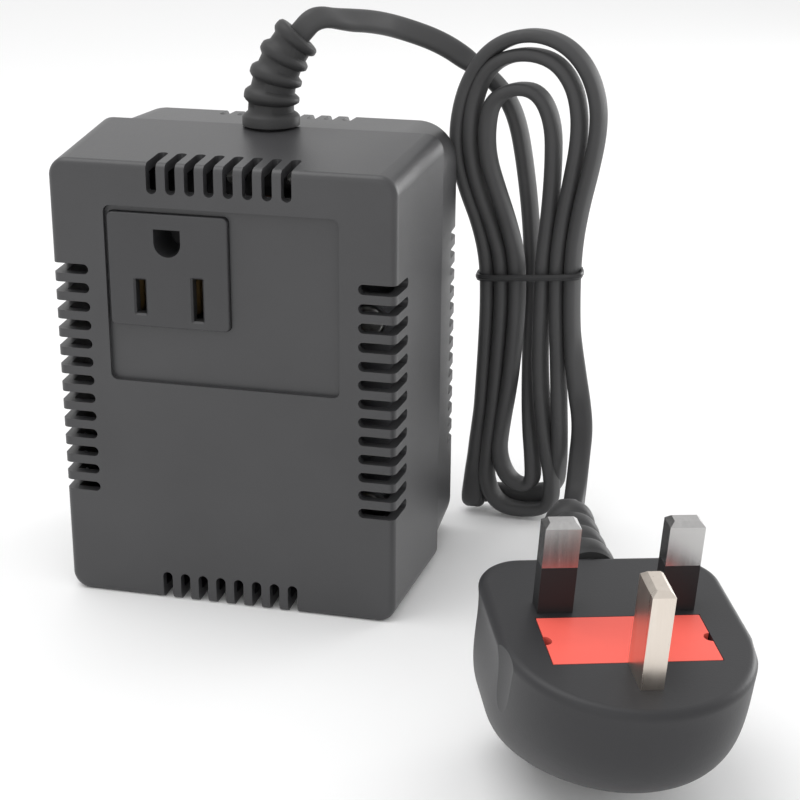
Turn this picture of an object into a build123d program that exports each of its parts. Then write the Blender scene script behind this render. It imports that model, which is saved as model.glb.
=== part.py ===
"""A travel voltage converter: a two-shell case with a transformer and an outlet, on a corded three-pin plug.

Millimetres. X is to the right seen from the outlet, Y goes back from it and Z is up.
The origin is at the middle of the case's footprint.
"""
import os
from math import cos, hypot, pi, radians, sin, sqrt, tan

from build123d import *

# Case shells
face_width = 75.0
face_height = 99.0
front_depth = 33.5
rear_depth = 21.5
side_draft = 2.5
rear_draft = 0.6
seam_ledge = 0.3
front_corner = 4.0
rear_corner = 9.0
front_edge_radius = 1.5
rear_edge_radius = 3.0
case_wall = 2.2
tongue_thickness = 1.0
tongue_height = 1.6
tongue_root = 2.0
tongue_gap = 0.15
underside_trim = 0.1

# Vent slots round the edges
vent_width = 2.2
vent_pitch = 4.15
vents_across = 8
vents_up = 13
vents_middle_height = 50.5
vent_on_face_side = 8.0
vent_on_face_end = 6.4
vent_on_side = 8.5
vent_on_rear = 5.0

# Label recess in the face, with a pad behind it that keeps the wall's thickness
label_width = 51.0
label_height = 38.5
label_middle_height = 70.5
label_depth = 1.2
label_corner = 1.5
pad_margin = 3.0

# Outlet block
outlet_width = 26.5
outlet_height = 24.6
outlet_middle_x = -11.6
outlet_middle_height = 76.1
outlet_depth = 10.5
outlet_corner = 1.2
outlet_flange = 2.0
outlet_flange_thickness = 1.6
outlet_front_wall = 2.6
blade_spacing = 12.7
blade_row_height = 70.3
short_slot_height = 7.4
tall_slot_height = 9.2
slot_width = 2.2
slot_lead_in = 0.4
earth_hole_width = 5.9
earth_hole_rise = 11.9
contact_pocket_width = 6.0
contact_pocket_height = 11.0
contact_gap = 1.6
contact_leaf = 0.5
contact_height = 8.0
contact_length = 6.5
contact_tail_height = 3.0
contact_tail_length = 5.0
outlet_cover_thickness = 1.6

# Transformer
core_width = 66.0
core_height = 55.0
core_limb = 22.0
core_stack = 22.0
core_boss_gap = 0.8
coil_outlet_gap = 0.2
core_hole = 4.2
bobbin_wall = 1.2
bobbin_gap = 0.2
primary_thickness = 3.4
secondary_thickness = 2.2
tape_thickness = 0.4
flange_reach = 18.7
cutout_width = 9.0
cutout_height = 13.0
cutout_thickness = 3.6
cutout_radius = 1.0

# Screws
case_screw_x = 31.5
case_screw_low = 8.5
case_screw_high = 92.0
boss_diameter = 7.0
rear_boss_diameter = 8.4
screw_diameter = 3.0
screw_head_diameter = 5.6
screw_head_height = 2.0
screw_bite = 9.0
counterbore_depth = 13.0
core_post_diameter = 8.0
core_screw_diameter = 4.0
core_screw_head_diameter = 7.0
core_screw_head_height = 2.4
core_screw_bite = 8.5
driver_slot_width = 0.8
driver_slot_depth = 0.9
screw_gap = 0.05

# Cord: a flat twin flex
cord_width = 5.2
cord_thickness = 3.0
twist_steps = 6
wire_radius = 0.9
wire_bend = 2.5
wire_spacing = 2.1
plug_wire_reach = 2.4
plug_wire_bend = 1.1

# Gland: the ribbed strain relief in the top of the seam
gland_x = 1.1
gland_base_diameter = 12.7
gland_tip_diameter = 10.6
gland_root_diameter = 10.4
gland_root_tip_diameter = 9.0
gland_base_height = 2.4
gland_straight = 0.6
gland_bend_radius = 25.0
gland_bend_angle = 42.0
gland_bend_heading = 18.0
gland_ribs = 4
gland_groove_share = 0.5
gland_neck_diameter = 9.0
gland_flange_diameter = 12.0
gland_flange_height = 1.6
gland_seat_gap = 0.1

# Cord clamp inside the case
clamp_width = 20.0
clamp_height = 5.0
clamp_top = 93.5
clamp_cover = 2.2
clamp_screw_spacing = 14.0
clamp_screw_diameter = 2.5
clamp_screw_head = 4.4
clamp_screw_head_height = 1.5
inner_cord_bottom = 86.0
fit_gap = 0.1

# Hank: three loops in one layer that leans on the case, and the lead behind it
hank_foot_y = 36.8
hank_lean = 3.6
hank_turns = 3
lead_layer = 5.7
floor_gap = 0.12
waist_height = 63.5
waist_middle_x = 55.7
waist_step = 3.55
low_step = 3.7
low_left_x = 49.3
low_lead_x = 57.1
low_height = 24.0
high_left_x = 46.6
high_left_step = 4.1
high_right_x = 61.1
high_right_step = 4.45
high_height = 98.5
crown_heights = (106.5, 114.2, 120.1)
fold_step = 4.2
fold_extra = 1.5
fold_shares = (0.5, 0.47, 0.42)
lead_start_x = 40.4
lead_start_height = 112.2
lead_start_heading = -34.0
lead_in_x = 52.6
lead_in_height = 94.9
lead_in_heading = -80.0
climb_top = 31.0
tail_start_height = 33.0
tail_gap = 0.5

# Routes of the free stretches, from end to end, in millimetres in the case's frame
lead_route = [
    (15.5, 15.5, 123.7),
    (20.0, 22.0, 122.8),
    (24.6, 29.0, 120.8),
]
lead_first_run = 5.4
lead_last_run = 9.0
tail_route = [
    (69.2, 31.0, 12.0),
    (69.9, 22.0, 8.6),
    (71.2, 10.0, 8.6),
    (72.6, -3.0, 14.0),
    (73.8, -15.5, 24.0),
]
tail_first_run = 8.5
tail_last_run = 7.5

# Tie round the hank's waist
tie_height = 1.4
tie_thickness = 0.8
tie_gap = 0.35

# Plug
plug_x = 89.3
plug_y = -77.1
plug_turn = 20.8
plug_tilt = 4.9
plug_lean = 2.2
plug_face_height = 35.2
plug_height = 33.5
plug_below = 4.5
plug_back = 17.8
plug_back_corner = 9.0
plug_face_radius = 1.6
pin_spacing = 22.2
earth_pin_offset = 22.2
flat_pin_width = 6.4
flat_pin_thickness = 4.0
flat_pin_length = 17.7
earth_pin_width = 4.0
earth_pin_depth = 8.0
earth_pin_length = 18.4
pin_core_inset = 0.6
pin_embed = 9.5
pin_tip_chamfer = 0.9
sleeve_length = 9.2
sleeve_embed = 1.5
grip_radius = 22.0
grip_depth = 2.2
grip_middle = 17.0
grip_floor = 15.0
# Outline of the plug at falling levels: depth below the pin face, and half width, reach of the
# earth end and start of the round front as shares of the largest half width and reach
plug_half_width = 23.6
plug_front = 34.0
plug_level_shares = [
    (0.0, 0.975, 0.985, 0.38),
    (0.22, 0.95, 0.98, 0.38),
    (0.5, 0.94, 0.84, 0.07),
    (0.78, 0.71, 0.25, -0.2),
    (1.0, 0.45, 0.12, -0.6),
]

# Inner parts of the plug
skin = 1.5
insert_width = 33.0
insert_shoulder = 19.9
insert_nose_width = 10.0
insert_front = 28.2
insert_back = 8.0
insert_floor = 19.0
chamber_half_width = 13.5
chamber_front = 16.2
chamber_back = 6.5
fuse_length = 25.4
fuse_cap_diameter = 6.3
fuse_body_diameter = 6.0
fuse_cap_length = 5.5
fuse_offset = 10.75
fuse_depth = 5.45
clip_thickness = 0.8
clip_width = 5.0
clip_height = 7.6
clip_gap = 0.05
fuse_well_length = 27.5
fuse_well_width = 9.6
carrier_length = 29.6
carrier_width = 14.4
carrier_thickness = 2.0
carrier_gap = 0.15
carrier_notch = 1.3
leg_thickness = 1.1
leg_width = 7.0
leg_length = 5.4
leg_gap = 0.08
strap_width = 2.5
boot_axis_drop = 5.4
boot_base_diameter = 10.8
boot_tip_diameter = 9.6
boot_root_share = 0.86
boot_groove_share = 0.16
boot_bore_depth = 4.5
boot_start = 2.0
boot_ribs = 3
boot_straight = 3.0
boot_bend_radius = 140.0
boot_bend_angle = 9.4
boot_bend_rise = 0.0

overrun = 1.0

front_y = -(front_depth + rear_depth) / 2
seam_y = front_y + front_depth
rear_y = seam_y + rear_depth
seam_width = face_width + 2 * side_draft
seam_height = face_height + side_draft

os.makedirs("parts", exist_ok=True)


def keep(name, shape):
    """Writes one node."""
    export_step(shape, "parts/" + name + ".step")


def upright(y, width, height, corner, bottom=0.0, middle=0.0):
    """A rounded rectangle that faces forward in the plane at y, standing on bottom."""
    plane = Plane(origin=(middle, y, bottom + height / 2), x_dir=(1, 0, 0), z_dir=(0, -1, 0))
    return plane * RectangleRounded(width, height, corner)


def rod(diameter, start, end):
    """A round bar between two points."""
    axis = Vector(*end) - Vector(*start)
    plane = Plane(origin=start, z_dir=axis)
    return extrude(plane * Circle(diameter / 2), axis.length)


def block(x_range, y_range, z_range):
    """A box between its lowest and highest corners."""
    size = [high - low for low, high in (x_range, y_range, z_range)]
    centre = [(high + low) / 2 for low, high in (x_range, y_range, z_range)]
    return Pos(*centre) * Box(*size)


def route_radii(points):
    """The radius of each corner's arc: as large as the two runs beside it allow."""
    radii = []
    for before, at, after in zip(points, points[1:], points[2:]):
        came = Vector(*at) - Vector(*before)
        goes = Vector(*after) - Vector(*at)
        turn = radians(came.get_angle(goes))
        radii.append(0.45 * min(came.length, goes.length) / tan(turn / 2))
    return radii


def flat_cord(path, wide):
    """The flat twin flex along a path, its wide side along the given direction at the start."""
    section = Plane(origin=path @ 0, x_dir=wide, z_dir=path % 0) * SlotOverall(cord_width, cord_thickness)
    return sweep(section, path=path)


def twisted_run(start, end, wide, turn):
    """A straight run of the flex that twists by an angle, its wide side along wide at its start."""
    along = (end - start).normalized()
    across = along.cross(wide).normalized()
    square = across.cross(along)
    sections = []
    for i in range(twist_steps + 1):
        share = i / twist_steps
        angle = radians(turn * share)
        x_dir = square * cos(angle) + across * sin(angle)
        plane = Plane(origin=start + (end - start) * share, x_dir=x_dir, z_dir=along)
        sections.append(plane * SlotOverall(cord_width, cord_thickness))
    return loft(sections)


def free_cord(line, wide):
    """A free stretch of the flex: its first run twists by a quarter turn, the rest runs flat."""
    edges = line.edges().sort_by(line)
    first = edges[0]
    start, end = first.position_at(0), first.position_at(1)
    if (start - (line @ 0)).length > (end - (line @ 0)).length:
        start, end = end, start
    rest = Wire(edges[1:])
    twisted = twisted_run(start, end, wide, 90.0)
    return twisted + flat_cord(rest, (end - start).cross(wide))


def cord_area():
    """The area of the flex's section."""
    return cord_thickness * (cord_width - cord_thickness) + pi * cord_thickness ** 2 / 4


def wire(points):
    """A thin insulated wire through points, with equal bends."""
    path = FilletPolyline(*points, radius=wire_bend)
    return sweep(Plane(origin=path @ 0, z_dir=path % 0) * Circle(wire_radius), path=path)


# The case

def front_size(y):
    """Width and height of the front shell's outline at y."""
    grown = side_draft * (y - front_y) / front_depth
    return face_width + 2 * grown, face_height + grown


def rear_size(y):
    """Width and height of the rear shell's outline at y."""
    shrunk = seam_ledge + rear_draft * (y - seam_y) / rear_depth
    return seam_width - 2 * shrunk, seam_height - shrunk


def ring_solid(size, start, end, corner, inset):
    """The solid inside a drafted outline between two planes, inset by a wall and trimmed flat below."""
    ends = []
    for y in (start, end):
        width, height = size(y)
        ends.append(upright(y, width - 2 * inset, height - 2 * inset + underside_trim, corner - inset,
                            inset - underside_trim))
    return loft(ends, ruled=True)


def trimmed(shell):
    """A shell with its underside cut flat on the floor."""
    return shell - block((-seam_width, seam_width), (front_y - overrun, rear_y + overrun),
                         (-overrun, 0.0))


def vent_cut(centre, along, through, length, depth):
    """A slot with rounded ends, centred on a point."""
    plane = Plane(origin=centre, x_dir=along, z_dir=through)
    return extrude(plane * SlotOverall(length, vent_width), depth / 2, both=True)


def edge_vents(size, edge_y, inward, on_face_side, on_face_end):
    """Cutters of the slots that wrap round one shell's outer edge at edge_y."""
    width, height = size(edge_y)
    across, back, up = (1, 0, 0), (0, 1, 0), (0, 0, 1)
    face_depth = case_wall + 2 * overrun
    face_y = edge_y + inward * case_wall / 2
    wall_length = vent_on_side + overrun
    wall_y = edge_y + inward * (vent_on_side - overrun) / 2
    wall_depth = face_depth + side_draft
    on_face, on_wall = [], []
    for i in range(vents_across):
        x = (i - (vents_across - 1) / 2) * vent_pitch
        for edge, outward in ((height, 1), (0.0, -1)):
            middle = edge - outward * (on_face_end - overrun) / 2
            on_face.append(vent_cut((x, face_y, middle), up, back, on_face_end + overrun, face_depth))
            wall_z = edge + outward * (side_draft - case_wall) / 2
            on_wall.append(vent_cut((x, wall_y, wall_z), back, up, wall_length, wall_depth))
    for i in range(vents_up):
        z = vents_middle_height + (i - (vents_up - 1) / 2) * vent_pitch
        for side in (-1, 1):
            middle = side * (width / 2 - (on_face_side - overrun) / 2)
            on_face.append(vent_cut((middle, face_y, z), across, back, on_face_side + overrun, face_depth))
            wall_x = side * (width / 2 + (side_draft - case_wall) / 2)
            on_wall.append(vent_cut((wall_x, wall_y, z), back, across, wall_length, wall_depth))
    return on_face, on_wall


core_middle_height = case_screw_low + rear_boss_diameter / 2 + core_boss_gap + core_height / 2
core_middle_y = front_y + outlet_depth + outlet_cover_thickness + coil_outlet_gap + flange_reach
case_screw_places = [(side * case_screw_x, z) for side in (-1, 1) for z in (case_screw_low, case_screw_high)]
core_screw_places = [
    (side * (core_width - core_limb / 2) / 2, core_middle_height + end * (core_height - core_limb / 2) / 2)
    for side in (-1, 1) for end in (-1, 1)
]
core_front_y = core_middle_y - core_stack / 2
core_rear_y = core_middle_y + core_stack / 2
inner_rear_y = rear_y - case_wall
gland_hole = rod(gland_neck_diameter + 2 * gland_seat_gap, (gland_x, seam_y, seam_height - 3 * case_wall),
                 (gland_x, seam_y, seam_height + overrun))
flange_top = seam_height - case_wall - 4 * gland_seat_gap
flange_room = rod(gland_flange_diameter + 4 * gland_seat_gap,
                  (gland_x, seam_y, flange_top - gland_flange_height - overrun),
                  (gland_x, seam_y, flange_top + gland_seat_gap))
anvil_front_y = seam_y + cord_thickness / 2 + fit_gap
clamp_screw_xs = [gland_x + side * clamp_screw_spacing / 2 for side in (-1, 1)]
clamp_middle = clamp_top - clamp_height / 2
clamp_front_y = seam_y - cord_thickness / 2 - clamp_cover


def make_front_shell():
    """The front half: face, drafted walls, label recess, outlet window, screw bosses and vents."""
    shell = ring_solid(front_size, front_y, seam_y, front_corner, 0.0)
    rim = shell.faces().sort_by(Axis.Y)[0].edges()
    shell = trimmed(fillet(rim, front_edge_radius))
    width, height = front_size(seam_y)
    cavity = loft([
        upright(front_y + case_wall, front_size(front_y + case_wall)[0] - 2 * case_wall,
                front_size(front_y + case_wall)[1] - 2 * case_wall, front_corner - case_wall, case_wall),
        upright(seam_y, width - 2 * case_wall, height - 2 * case_wall, front_corner - case_wall, case_wall),
    ], ruled=True)
    shell -= cavity
    pad_y = front_y + case_wall + label_depth
    pad_bottom = label_middle_height - label_height / 2 - pad_margin
    pad = upright(pad_y, label_width + 2 * pad_margin, label_height + 2 * pad_margin,
                  label_corner, pad_bottom)
    shell += extrude(pad, case_wall)
    for x, z in case_screw_places:
        post = rod(boss_diameter, (x, front_y + case_wall / 2, z), (x, seam_y, z))
        shell += post & ring_solid(front_size, front_y, seam_y, front_corner, case_wall / 2)
        shell -= rod(screw_diameter + 2 * screw_gap,
                     (x, seam_y - screw_bite - overrun, z), (x, seam_y + overrun, z))
    shell -= extrude(upright(front_y + label_depth, label_width, label_height, label_corner,
                             label_middle_height - label_height / 2), label_depth + overrun)
    window_bottom = outlet_middle_height - outlet_height / 2 - fit_gap
    window = upright(front_y + outlet_depth, outlet_width + 2 * fit_gap, outlet_height + 2 * fit_gap,
                     outlet_corner, window_bottom, outlet_middle_x)
    shell -= extrude(window, outlet_depth + overrun)
    for cutters in edge_vents(front_size, front_y, 1, vent_on_face_side, vent_on_face_end):
        shell -= cutters
    shell -= gland_hole
    shell -= flange_room
    return shell


def make_rear_shell():
    """The rear half: rounder corners, a tongue that enters the front half, posts and vents."""
    shell = ring_solid(rear_size, seam_y, rear_y, rear_corner, 0.0)
    rim = shell.faces().sort_by(Axis.Y)[-1].edges()
    shell = trimmed(fillet(rim, rear_edge_radius))
    inner = []
    for y in (seam_y, inner_rear_y):
        width, height = rear_size(y)
        inner.append(upright(y, width - 2 * case_wall, height - 2 * case_wall,
                             rear_corner - case_wall, case_wall))
    shell -= loft(inner, ruled=True)
    width, height = front_size(seam_y)
    inset = case_wall + tongue_gap
    tongue_outer = upright(seam_y + tongue_root, width - 2 * inset, height - 2 * inset,
                           rear_corner - case_wall, inset)
    inset += tongue_thickness
    tongue_inner = upright(seam_y + tongue_root, width - 2 * inset, height - 2 * inset,
                           rear_corner - case_wall - tongue_thickness, inset)
    tongue_depth = tongue_root + tongue_height
    tongue = extrude(tongue_outer, tongue_depth) - extrude(tongue_inner, tongue_depth)
    for x, z in case_screw_places:
        tongue -= rod(boss_diameter + 2 * tongue_gap,
                      (x, seam_y - tongue_height - overrun, z), (x, seam_y, z))
    shell += tongue
    inside = ring_solid(rear_size, seam_y, rear_y, rear_corner, case_wall / 2)
    for x, z in case_screw_places:
        shell += rod(rear_boss_diameter, (x, seam_y, z), (x, inner_rear_y + case_wall / 2, z)) & inside
        shell -= rod(screw_head_diameter + 4 * fit_gap,
                     (x, rear_y - counterbore_depth, z), (x, rear_y + overrun, z))
        shell -= rod(screw_diameter + 4 * fit_gap, (x, seam_y - overrun, z), (x, rear_y, z))
    for x, z in core_screw_places:
        shell += rod(core_post_diameter, (x, core_rear_y, z), (x, inner_rear_y + case_wall / 2, z))
        shell -= rod(core_screw_diameter + 2 * screw_gap, (x, core_rear_y - overrun, z),
                     (x, core_rear_y + core_screw_bite + screw_gap, z))
    shell += block((gland_x - clamp_width / 2, gland_x + clamp_width / 2),
                   (anvil_front_y, inner_rear_y + case_wall / 2), (clamp_top - clamp_height, clamp_top))
    for x in clamp_screw_xs:
        shell -= rod(clamp_screw_diameter + 2 * screw_gap, (x, anvil_front_y - overrun, clamp_middle),
                     (x, anvil_front_y + clamp_screw_spacing / 2, clamp_middle))
    for cutters in edge_vents(rear_size, rear_y, -1, vent_on_rear, vent_on_rear):
        shell -= cutters
    shell -= gland_hole
    shell -= flange_room
    return shell


def screw(diameter, head_diameter, head_height, length, head_at, toward):
    """A pan head screw: head_at is its head's underside, and its shank goes toward plus or minus Y."""
    x, y, z = head_at
    shape = rod(head_diameter, (x, y - toward * head_height, z), (x, y, z))
    shape = fillet(shape.edges().sort_by(Axis.Y)[0 if toward > 0 else -1], head_height / 3)
    shape += rod(diameter, (x, y, z), (x, y + toward * length, z))
    top = y - toward * head_height
    slot = sorted((top - toward * overrun, top + toward * driver_slot_depth))
    slot_zs = (z - driver_slot_width / 2, z + driver_slot_width / 2)
    return shape - block((x - head_diameter, x + head_diameter), slot, slot_zs)


# The outlet

slot_left_x = outlet_middle_x - blade_spacing / 2
slot_right_x = outlet_middle_x + blade_spacing / 2
outlet_back_y = front_y + outlet_depth
contact_front_y = front_y + outlet_front_wall + fit_gap


def blade_slot(x, height):
    """Cutter of one blade slot, with a lead-in at its mouth."""
    zs = (blade_row_height - height / 2, blade_row_height + height / 2)
    cutter = block((x - slot_width / 2, x + slot_width / 2),
                   (front_y - overrun, front_y + outlet_depth / 2), zs)
    mouth = [
        upright(front_y, slot_width + 2 * slot_lead_in, height + 2 * slot_lead_in, slot_lead_in,
                zs[0] - slot_lead_in, x),
        upright(front_y + slot_lead_in, slot_width, height, slot_lead_in / 2, zs[0], x),
    ]
    return cutter + loft(mouth, ruled=True)


def make_outlet_face():
    """The outlet block with its flange, slots, earth hole and contact pockets."""
    low = outlet_middle_height - outlet_height / 2
    outline = upright(outlet_back_y, outlet_width, outlet_height, outlet_corner, low, outlet_middle_x)
    face = extrude(outline, outlet_depth)
    face = fillet(face.faces().sort_by(Axis.Y)[0].edges(), slot_lead_in)
    flange_y = front_y + case_wall + label_depth + outlet_flange_thickness
    flange = upright(flange_y, outlet_width + 2 * outlet_flange, outlet_height + 2 * outlet_flange,
                     outlet_corner, low - outlet_flange, outlet_middle_x)
    face += extrude(flange, outlet_flange_thickness)
    face -= blade_slot(slot_left_x, short_slot_height)
    face -= blade_slot(slot_right_x, tall_slot_height)
    pocket_zs = (blade_row_height - contact_pocket_height / 2, blade_row_height + contact_pocket_height / 2)
    for x in (slot_left_x, slot_right_x):
        face -= block((x - contact_pocket_width / 2, x + contact_pocket_width / 2),
                      (front_y + outlet_front_wall, outlet_back_y + overrun), pocket_zs)
    radius = earth_hole_width / 2
    middle = blade_row_height + earth_hole_rise
    plane = Plane(origin=(outlet_middle_x, front_y - overrun, middle), x_dir=(1, 0, 0), z_dir=(0, 1, 0))
    round_part = plane * Circle(radius)
    flat_part = plane * Pos(0, -radius / 2) * Rectangle(earth_hole_width, radius)
    face -= extrude(round_part + flat_part, outlet_depth + 2 * overrun)
    return face


def make_contact(x):
    """A spring contact: two leaves, a base and a tail through the cover."""
    half = contact_gap / 2 + contact_leaf
    zs = (blade_row_height - contact_height / 2, blade_row_height + contact_height / 2)
    back = outlet_back_y
    shape = block((x - half, x + half), (back - contact_length, back), zs)
    shape -= block((x - contact_gap / 2, x + contact_gap / 2),
                   (back - contact_length - overrun, back - contact_leaf), (zs[0] - overrun, zs[1] + overrun))
    lip = contact_leaf * 2
    for side in (-1, 1):
        inner = x + side * contact_gap / 2
        mouth = Polyline((inner, back - contact_length), (inner + side * contact_leaf, back - contact_length),
                         (inner + side * lip, back - contact_length - lip),
                         (inner + side * (lip - contact_leaf), back - contact_length - lip), close=True)
        shape += Pos(0, 0, zs[0]) * extrude(make_face(mouth), contact_height)
    tail_zs = (blade_row_height - contact_tail_height / 2, blade_row_height + contact_tail_height / 2)
    shape += block((x - contact_leaf / 2, x + contact_leaf / 2),
                   (back - contact_leaf / 2, back + contact_tail_length), tail_zs)
    return shape


def make_outlet_cover():
    """The plate that closes the outlet's back, with a slot for each contact's tail."""
    outline = upright(outlet_back_y + outlet_cover_thickness, outlet_width, outlet_height, outlet_corner,
                      outlet_middle_height - outlet_height / 2, outlet_middle_x)
    cover = extrude(outline, outlet_cover_thickness)
    for x in (slot_left_x, slot_right_x):
        half = contact_leaf / 2 + fit_gap
        rise = contact_tail_height / 2 + fit_gap
        cover -= block((x - half, x + half),
                       (outlet_back_y - overrun, outlet_back_y + outlet_cover_thickness + overrun),
                       (blade_row_height - rise, blade_row_height + rise))
    return cover


# The transformer

def core_block(width, depth, height):
    """A box round the centre limb."""
    return Pos(0, core_middle_y, core_middle_height) * Box(width, depth, height)


window_height = core_height - core_limb
tube_inner = core_limb + 2 * bobbin_gap
tube_outer = tube_inner + 2 * bobbin_wall
coil_height = window_height - 2 * bobbin_gap
winding_height = coil_height - 2 * bobbin_wall
primary_width = tube_outer + 2 * primary_thickness
secondary_width = primary_width + 2 * secondary_thickness
tape_width = secondary_width + 2 * tape_thickness
flange_width = 2 * (core_limb - bobbin_gap)


def make_core():
    """The laminated core: limbs and yokes round two windows, with four corner holes."""
    core = core_block(core_width, core_stack, core_height)
    for side in (-1, 1):
        window = core_block(core_limb / 2, core_stack + overrun, window_height)
        core -= Pos(side * 3 * core_limb / 4, 0, 0) * window
    for x, z in core_screw_places:
        core -= rod(core_hole, (x, core_front_y - overrun, z), (x, core_rear_y + overrun, z))
    return core


def coil_layer(inner, outer):
    """One closed layer round the bobbin."""
    corner = (outer - core_limb) / 8
    plane = Plane(origin=(0, core_middle_y, core_middle_height - winding_height / 2))
    layer = extrude(plane * RectangleRounded(outer, outer, corner), winding_height)
    inner_corner = max((inner - core_limb) / 8, bobbin_gap)
    return layer - extrude(plane * RectangleRounded(inner, inner, inner_corner), winding_height)


def make_bobbin():
    """The former: a square tube with a flange at each end."""
    corner = (tube_outer - core_limb) / 8
    plane = Plane(origin=(0, core_middle_y, core_middle_height - coil_height / 2))
    bobbin = extrude(plane * RectangleRounded(tube_outer, tube_outer, max(corner, bobbin_gap)), coil_height)
    for end in (0, coil_height - bobbin_wall):
        flange = plane * RectangleRounded(flange_width, 2 * flange_reach, bobbin_wall)
        bobbin += Pos(0, 0, end) * extrude(flange, bobbin_wall)
    return bobbin - core_block(tube_inner, tube_inner, coil_height + overrun)


def make_thermal_cutout():
    """The cutout that lies against the winding's front."""
    front = core_middle_y - tape_width / 2
    shape = block((-cutout_width / 2, cutout_width / 2), (front - cutout_thickness, front),
                  (core_middle_height - cutout_height / 2, core_middle_height + cutout_height / 2))
    return fillet(shape.faces().sort_by(Axis.Y)[0].edges(), cutout_radius)


# The gland and the cord's inner end

def gland_stations():
    """Places along the gland's axis: distance, point and direction."""
    base = Vector(gland_x, seam_y, seam_height + gland_seat_gap / 2)
    heading = Vector(cos(radians(gland_bend_heading)), sin(radians(gland_bend_heading)), 0)
    bend_start = gland_base_height + gland_straight
    total = bend_start + gland_bend_radius * radians(gland_bend_angle)

    def place(distance):
        turned = max(distance - bend_start, 0.0) / gland_bend_radius
        out = heading * (gland_bend_radius * (1 - cos(turned)))
        rise = Vector(0, 0, min(distance, bend_start) + gland_bend_radius * sin(turned))
        return base + out + rise, heading * sin(turned) + Vector(0, 0, cos(turned))

    return place, total, heading


def ribbed_sleeve(place, start, total, ribs, diameters, roots, groove_share, steady):
    """A tapering sleeve that ends on a rib: four circles for each groove and rib, square to the axis."""
    step = (total - start) / ribs
    slope_share = 0.12
    rib_start = groove_share + slope_share
    shares = ((0.0, False), (groove_share, False), (rib_start, True), (1 - slope_share, True))
    stations = [(start + (i + share) * step, on_rib) for i in range(ribs) for share, on_rib in shares]
    stations[-1] = (total, True)
    circles = []
    for distance, on_rib in stations:
        done = (distance - start) / (total - start)
        low, high = diameters if on_rib else roots
        point, direction = place(distance)
        plane = Plane(origin=point, x_dir=steady, z_dir=direction)
        circles.append(plane * Circle((low + (high - low) * done) / 2))
    return loft(circles, ruled=True)


gland_place, gland_length, gland_heading = gland_stations()
gland_end, gland_direction = gland_place(gland_length)


def make_gland():
    """The ribbed gland with its neck in the wall and its flange inside."""
    steady = Vector(-gland_heading.Y, gland_heading.X, 0)
    sleeve = ribbed_sleeve(gland_place, gland_base_height, gland_length, gland_ribs,
                           (gland_base_diameter, gland_tip_diameter),
                           (gland_root_diameter, gland_root_tip_diameter), gland_groove_share, steady)
    base_low, _ = gland_place(0.0)
    base_high, _ = gland_place(gland_base_height)
    shape = sleeve + rod(gland_base_diameter, tuple(base_low), tuple(base_high))
    flange_low = flange_top - gland_flange_height
    shape += rod(gland_neck_diameter, (gland_x, seam_y, flange_low), tuple(base_high))
    shape += rod(gland_flange_diameter, (gland_x, seam_y, flange_low), (gland_x, seam_y, flange_top))
    return shape


inner_cord_top = flange_top - gland_flange_height


def make_inner_cord():
    """The end of the flex below the gland, held by the clamp."""
    plane = Plane(origin=(gland_x, seam_y, inner_cord_bottom))
    return extrude(plane * SlotOverall(cord_width, cord_thickness), inner_cord_top - inner_cord_bottom)


def make_cord_clamp():
    """The bar that presses the flex on the rear shell's rib."""
    bar = block((gland_x - clamp_width / 2, gland_x + clamp_width / 2), (clamp_front_y, anvil_front_y),
                (clamp_top - clamp_height, clamp_top))
    half = cord_width / 2 + fit_gap
    bar -= block((gland_x - half, gland_x + half),
                 (seam_y - cord_thickness / 2 - screw_gap, anvil_front_y + overrun),
                 (clamp_top - clamp_height - overrun, clamp_top + overrun))
    for x in clamp_screw_xs:
        bar -= rod(clamp_screw_diameter + 2 * fit_gap, (x, clamp_front_y - overrun, clamp_middle),
                   (x, anvil_front_y + overrun, clamp_middle))
    return bar


coil_top = core_middle_height + coil_height / 2
input_bend_height = inner_cord_bottom - 2 * wire_bend
input_outer_x = 3.0 * wire_spacing


def make_input_wire(side):
    """A wire from the flex's end, behind the core, down to the bobbin."""
    start_x = gland_x + side * wire_spacing / 2
    end_x = side * input_outer_x
    back_y = core_middle_y + flange_reach - 2 * wire_radius
    return wire([(start_x, seam_y, inner_cord_bottom), (start_x, seam_y, input_bend_height),
                 (end_x, back_y, input_bend_height), (end_x, back_y, coil_top)])


def make_output_wire(x):
    """A wire from a contact's tail down to the bobbin's front."""
    tail_end = outlet_back_y + contact_tail_length
    down_y = tail_end + 2 * wire_bend
    down_y = min(down_y, core_front_y - 2 * wire_radius)
    reach = min(wire_bend, (down_y - tail_end) * 0.9)
    points = [(x, tail_end, blade_row_height), (x, down_y, blade_row_height), (x, down_y, coil_top)]
    path = FilletPolyline(*points, radius=reach)
    return sweep(Plane(origin=path @ 0, z_dir=path % 0) * Circle(wire_radius), path=path)


# The cord's loops

lean = radians(hank_lean)
hank_plane = Plane(origin=(0, hank_foot_y, 0), x_dir=(1, 0, 0), z_dir=(0, -cos(lean), -sin(lean)))


def on_hank(x, height, layer=0.0):
    """A point of the leaning hank: across, up along it and behind its front layer."""
    return hank_plane.from_local_coords(Vector(x, height, -layer))


def hank_heading(angle):
    """A direction in the hank's plane: 0 to the right, 90 up."""
    tip = on_hank(cos(radians(angle)), sin(radians(angle)))
    return tip - on_hank(0, 0)


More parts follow.
